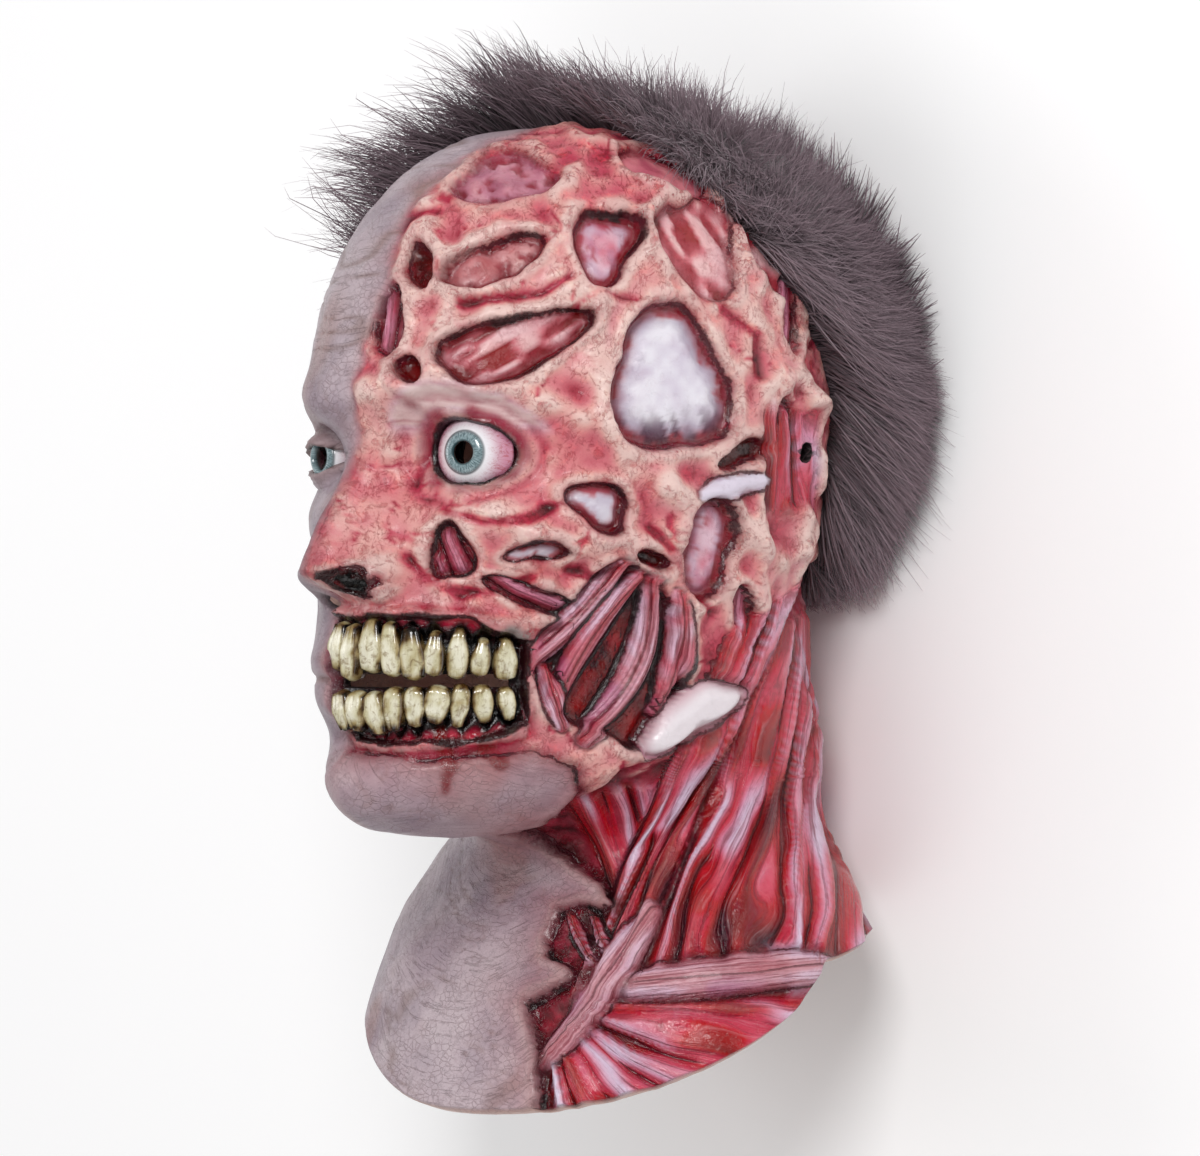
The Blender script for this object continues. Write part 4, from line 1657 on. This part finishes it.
def make_fur(hair):
    """The underfur, three layers of strands, more at the sides and the pressed ones at the back."""
    scalp = Scalp(bpy.data.objects["mask_skin"])
    make_fur_base(scalp)
    dice = np.random.default_rng(17)
    thick = hair.thickness / MM
    zones = {"fur_front": (0.78, 1.03), "fur_middle": (0.4, 0.85), "fur_back": (0.02, 0.5)}
    for name, zone in zones.items():
        make_strands(name, fur_guides(scalp, dice, hair.strands, zone), dice, thick)
    side = fur_guides(scalp, dice, hair.strands // 2, (0.3, 1.05), (-1.3, 1.2))
    make_strands("fur_side", side, dice, thick)
    make_strands("fur_pressed", pressed_guides(dice, hair.strands // 4), dice, 2 * thick)


# The stage

AIM = Vector((9.9, -41.2, 110.1))  # the point on the mask in the middle of the photograph
CAMERA_TURN = math.radians(45)  # how far round from the face towards the flayed side
CAMERA_AWAY = 1600
LENS, SENSOR = 120, 36
SKY, SKY_IN_GLOSS = 0.53, 0.15  # its light, and the share of it that glossy paint mirrors


def make_floor():
    """A wide pale floor."""
    bm = bmesh.new()
    bmesh.ops.create_grid(bm, x_segments=1, y_segments=1, size=6)
    floor = linked("floor", mesh_from(bm, "floor"))
    wiring = Wiring("pale_floor")
    colour = wiring.blend(wiring.noise(wiring.object_place(), 0.8), "#FDFCFD", "#FFFFFF")
    floor.data.materials.append(wiring.finish(colour, 0.75))


def make_light(name, at, size, power):
    """A round soft light that points at the mask."""
    lamp = bpy.data.lights.new(name, "AREA")
    lamp.shape = "DISK"
    lamp.size = size
    lamp.energy = power
    light = linked(name, lamp)
    light.location = at
    light.rotation_euler = (AIM * MM - Vector(at)).to_track_quat("-Z", "Y").to_euler()


def make_sky(brightness):
    """A plain white sky that glossy paint sees only a share of."""
    world = bpy.data.worlds.new("studio")
    world.use_nodes = True
    nodes, links = world.node_tree.nodes, world.node_tree.links
    background = nodes["Background"]
    background.inputs["Color"].default_value = (1, 1, 1, 1)
    strength = nodes.new("ShaderNodeMapRange")
    strength.inputs["To Min"].default_value = SKY * brightness
    strength.inputs["To Max"].default_value = SKY * SKY_IN_GLOSS * brightness
    links.new(nodes.new("ShaderNodeLightPath").outputs["Is Glossy Ray"], strength.inputs["Value"])
    links.new(strength.outputs[0], background.inputs["Strength"])
    bpy.context.scene.world = world


def make_camera():
    """A long lens on the flayed side, looking down at the mask."""
    lens = bpy.data.cameras.new("camera")
    lens.lens, lens.sensor_width = LENS, SENSOR
    lens.clip_end = 100
    camera = linked("camera", lens)
    out = Vector(heading_at(CAMERA_TURN))
    camera.location = (AIM + out * CAMERA_AWAY) * MM
    side = Vector((0, 1, 0)).cross(out)
    camera.rotation_euler = Matrix((side, (0, 1, 0), out)).transposed().to_euler()
    bpy.context.scene.camera = camera


def make_stage(studio):
    """A pale floor, three soft lights and a camera on the flayed side."""
    make_floor()
    make_light("key", (1.0, 0.75, 1.5), 0.7, 19 * studio.brightness)
    make_light("fill", (0.2, -1.6, 1.5), 1.4, 5 * studio.brightness)
    make_light("rim", (-1.3, 0.2, 1.3), 1.0, 6 * studio.brightness)
    make_sky(studio.brightness)
    bpy.context.scene.view_settings.view_transform = "Standard"
    make_camera()


# What a user may change, and the panel that lists it


def colour_property(name, description, code):
    return FloatVectorProperty(
        name=name, description=description, default=rgb(code), size=3, min=0, max=1, subtype="COLOR"
    )


class MASK_PG_latex(bpy.types.PropertyGroup):
    columns: IntProperty(
        name="Columns", description="Faces round the latex skin", default=224, min=60, max=230
    )
    rows: IntProperty(
        name="Rows", description="Faces from the crown to the bib's edge", default=368, min=60, max=380
    )


class MASK_PG_fur(bpy.types.PropertyGroup):
    strands: IntProperty(
        name="Strands", description="Strands in each layer of fur", default=23000, min=1000, max=24000
    )
    thickness: FloatProperty(
        name="Thickness",
        description="Width of a strand at its root",
        default=0.00052,
        min=0.0001,
        max=0.002,
        precision=4,
        subtype="DISTANCE",
        unit="LENGTH",
    )
    root_colour: colour_property("Root Colour", "Colour of the fur where it grows", "#382C33")
    tip_colour: colour_property("Tip Colour", "Colour of the ends of the fur", "#9A8791")


class MASK_PG_studio(bpy.types.PropertyGroup):
    brightness: FloatProperty(
        name="Brightness", description="Share of the studio's light", default=1, min=0, max=4
    )


class MASK_OT_skin(bpy.types.Operator):
    """Cast the carved and painted latex skin"""

    bl_idname = "mask.skin"
    bl_label = "Latex Skin"

    def execute(self, context):
        make_shell(context.scene.mask_latex)
        return {"FINISHED"}


class MASK_OT_teeth(bpy.types.Operator):
    """Set the two rows of teeth in the open cheek"""

    bl_idname = "mask.teeth"
    bl_label = "Teeth"

    def execute(self, context):
        make_teeth()
        return {"FINISHED"}


class MASK_OT_eyes(bpy.types.Operator):
    """Set an eyeball in each socket"""

    bl_idname = "mask.eyes"
    bl_label = "Eyes"

    def execute(self, context):
        make_eyes()
        return {"FINISHED"}


class MASK_OT_ear(bpy.types.Operator):
    """Model the ear of the skinned side"""

    bl_idname = "mask.ear"
    bl_label = "Ear"

    def execute(self, context):
        make_ear()
        return {"FINISHED"}


class MASK_OT_fur(bpy.types.Operator):
    """Glue the long fur round the back of the head"""

    bl_idname = "mask.fur"
    bl_label = "Fur"

    def execute(self, context):
        if "mask_skin" not in bpy.data.objects:
            raise RuntimeError("The fur grows on the latex skin, so that comes first")
        make_fur(context.scene.mask_fur)
        return {"FINISHED"}


class MASK_OT_stage(bpy.types.Operator):
    """Set up the floor, the lights and the camera"""

    bl_idname = "mask.stage"
    bl_label = "Stage"

    def execute(self, context):
        make_stage(context.scene.mask_studio)
        return {"FINISHED"}


OPERATORS = (MASK_OT_skin, MASK_OT_teeth, MASK_OT_eyes, MASK_OT_ear, MASK_OT_fur, MASK_OT_stage)
SETTINGS = {"mask_latex": MASK_PG_latex, "mask_fur": MASK_PG_fur, "mask_studio": MASK_PG_studio}


class MASK_PT_panel(bpy.types.Panel):
    """Lists the mask's pieces, in the order they are made"""

    bl_label = "Zombie Mask"
    bl_idname = "MASK_PT_panel"
    bl_space_type = "VIEW_3D"
    bl_region_type = "UI"
    bl_category = "Mask"

    def draw(self, context):
        for key, group in SETTINGS.items():
            for prop in group.__annotations__:
                self.layout.prop(getattr(context.scene, key), prop)
        for operator in OPERATORS:
            self.layout.operator(operator.bl_idname)


CLASSES = (*SETTINGS.values(), *OPERATORS, MASK_PT_panel)


def register():
    for item in CLASSES:
        bpy.utils.register_class(item)
    for key, group in SETTINGS.items():
        setattr(bpy.types.Scene, key, PointerProperty(type=group))


def unregister():
    for key in SETTINGS:
        delattr(bpy.types.Scene, key)
    for item in reversed(CLASSES):
        bpy.utils.unregister_class(item)


def main():
    register()
    bpy.ops.mask.skin()
    bpy.ops.mask.teeth()
    bpy.ops.mask.eyes()
    bpy.ops.mask.ear()
    bpy.ops.mask.fur()
    bpy.ops.mask.stage()


if __name__ == "__main__":
    main()
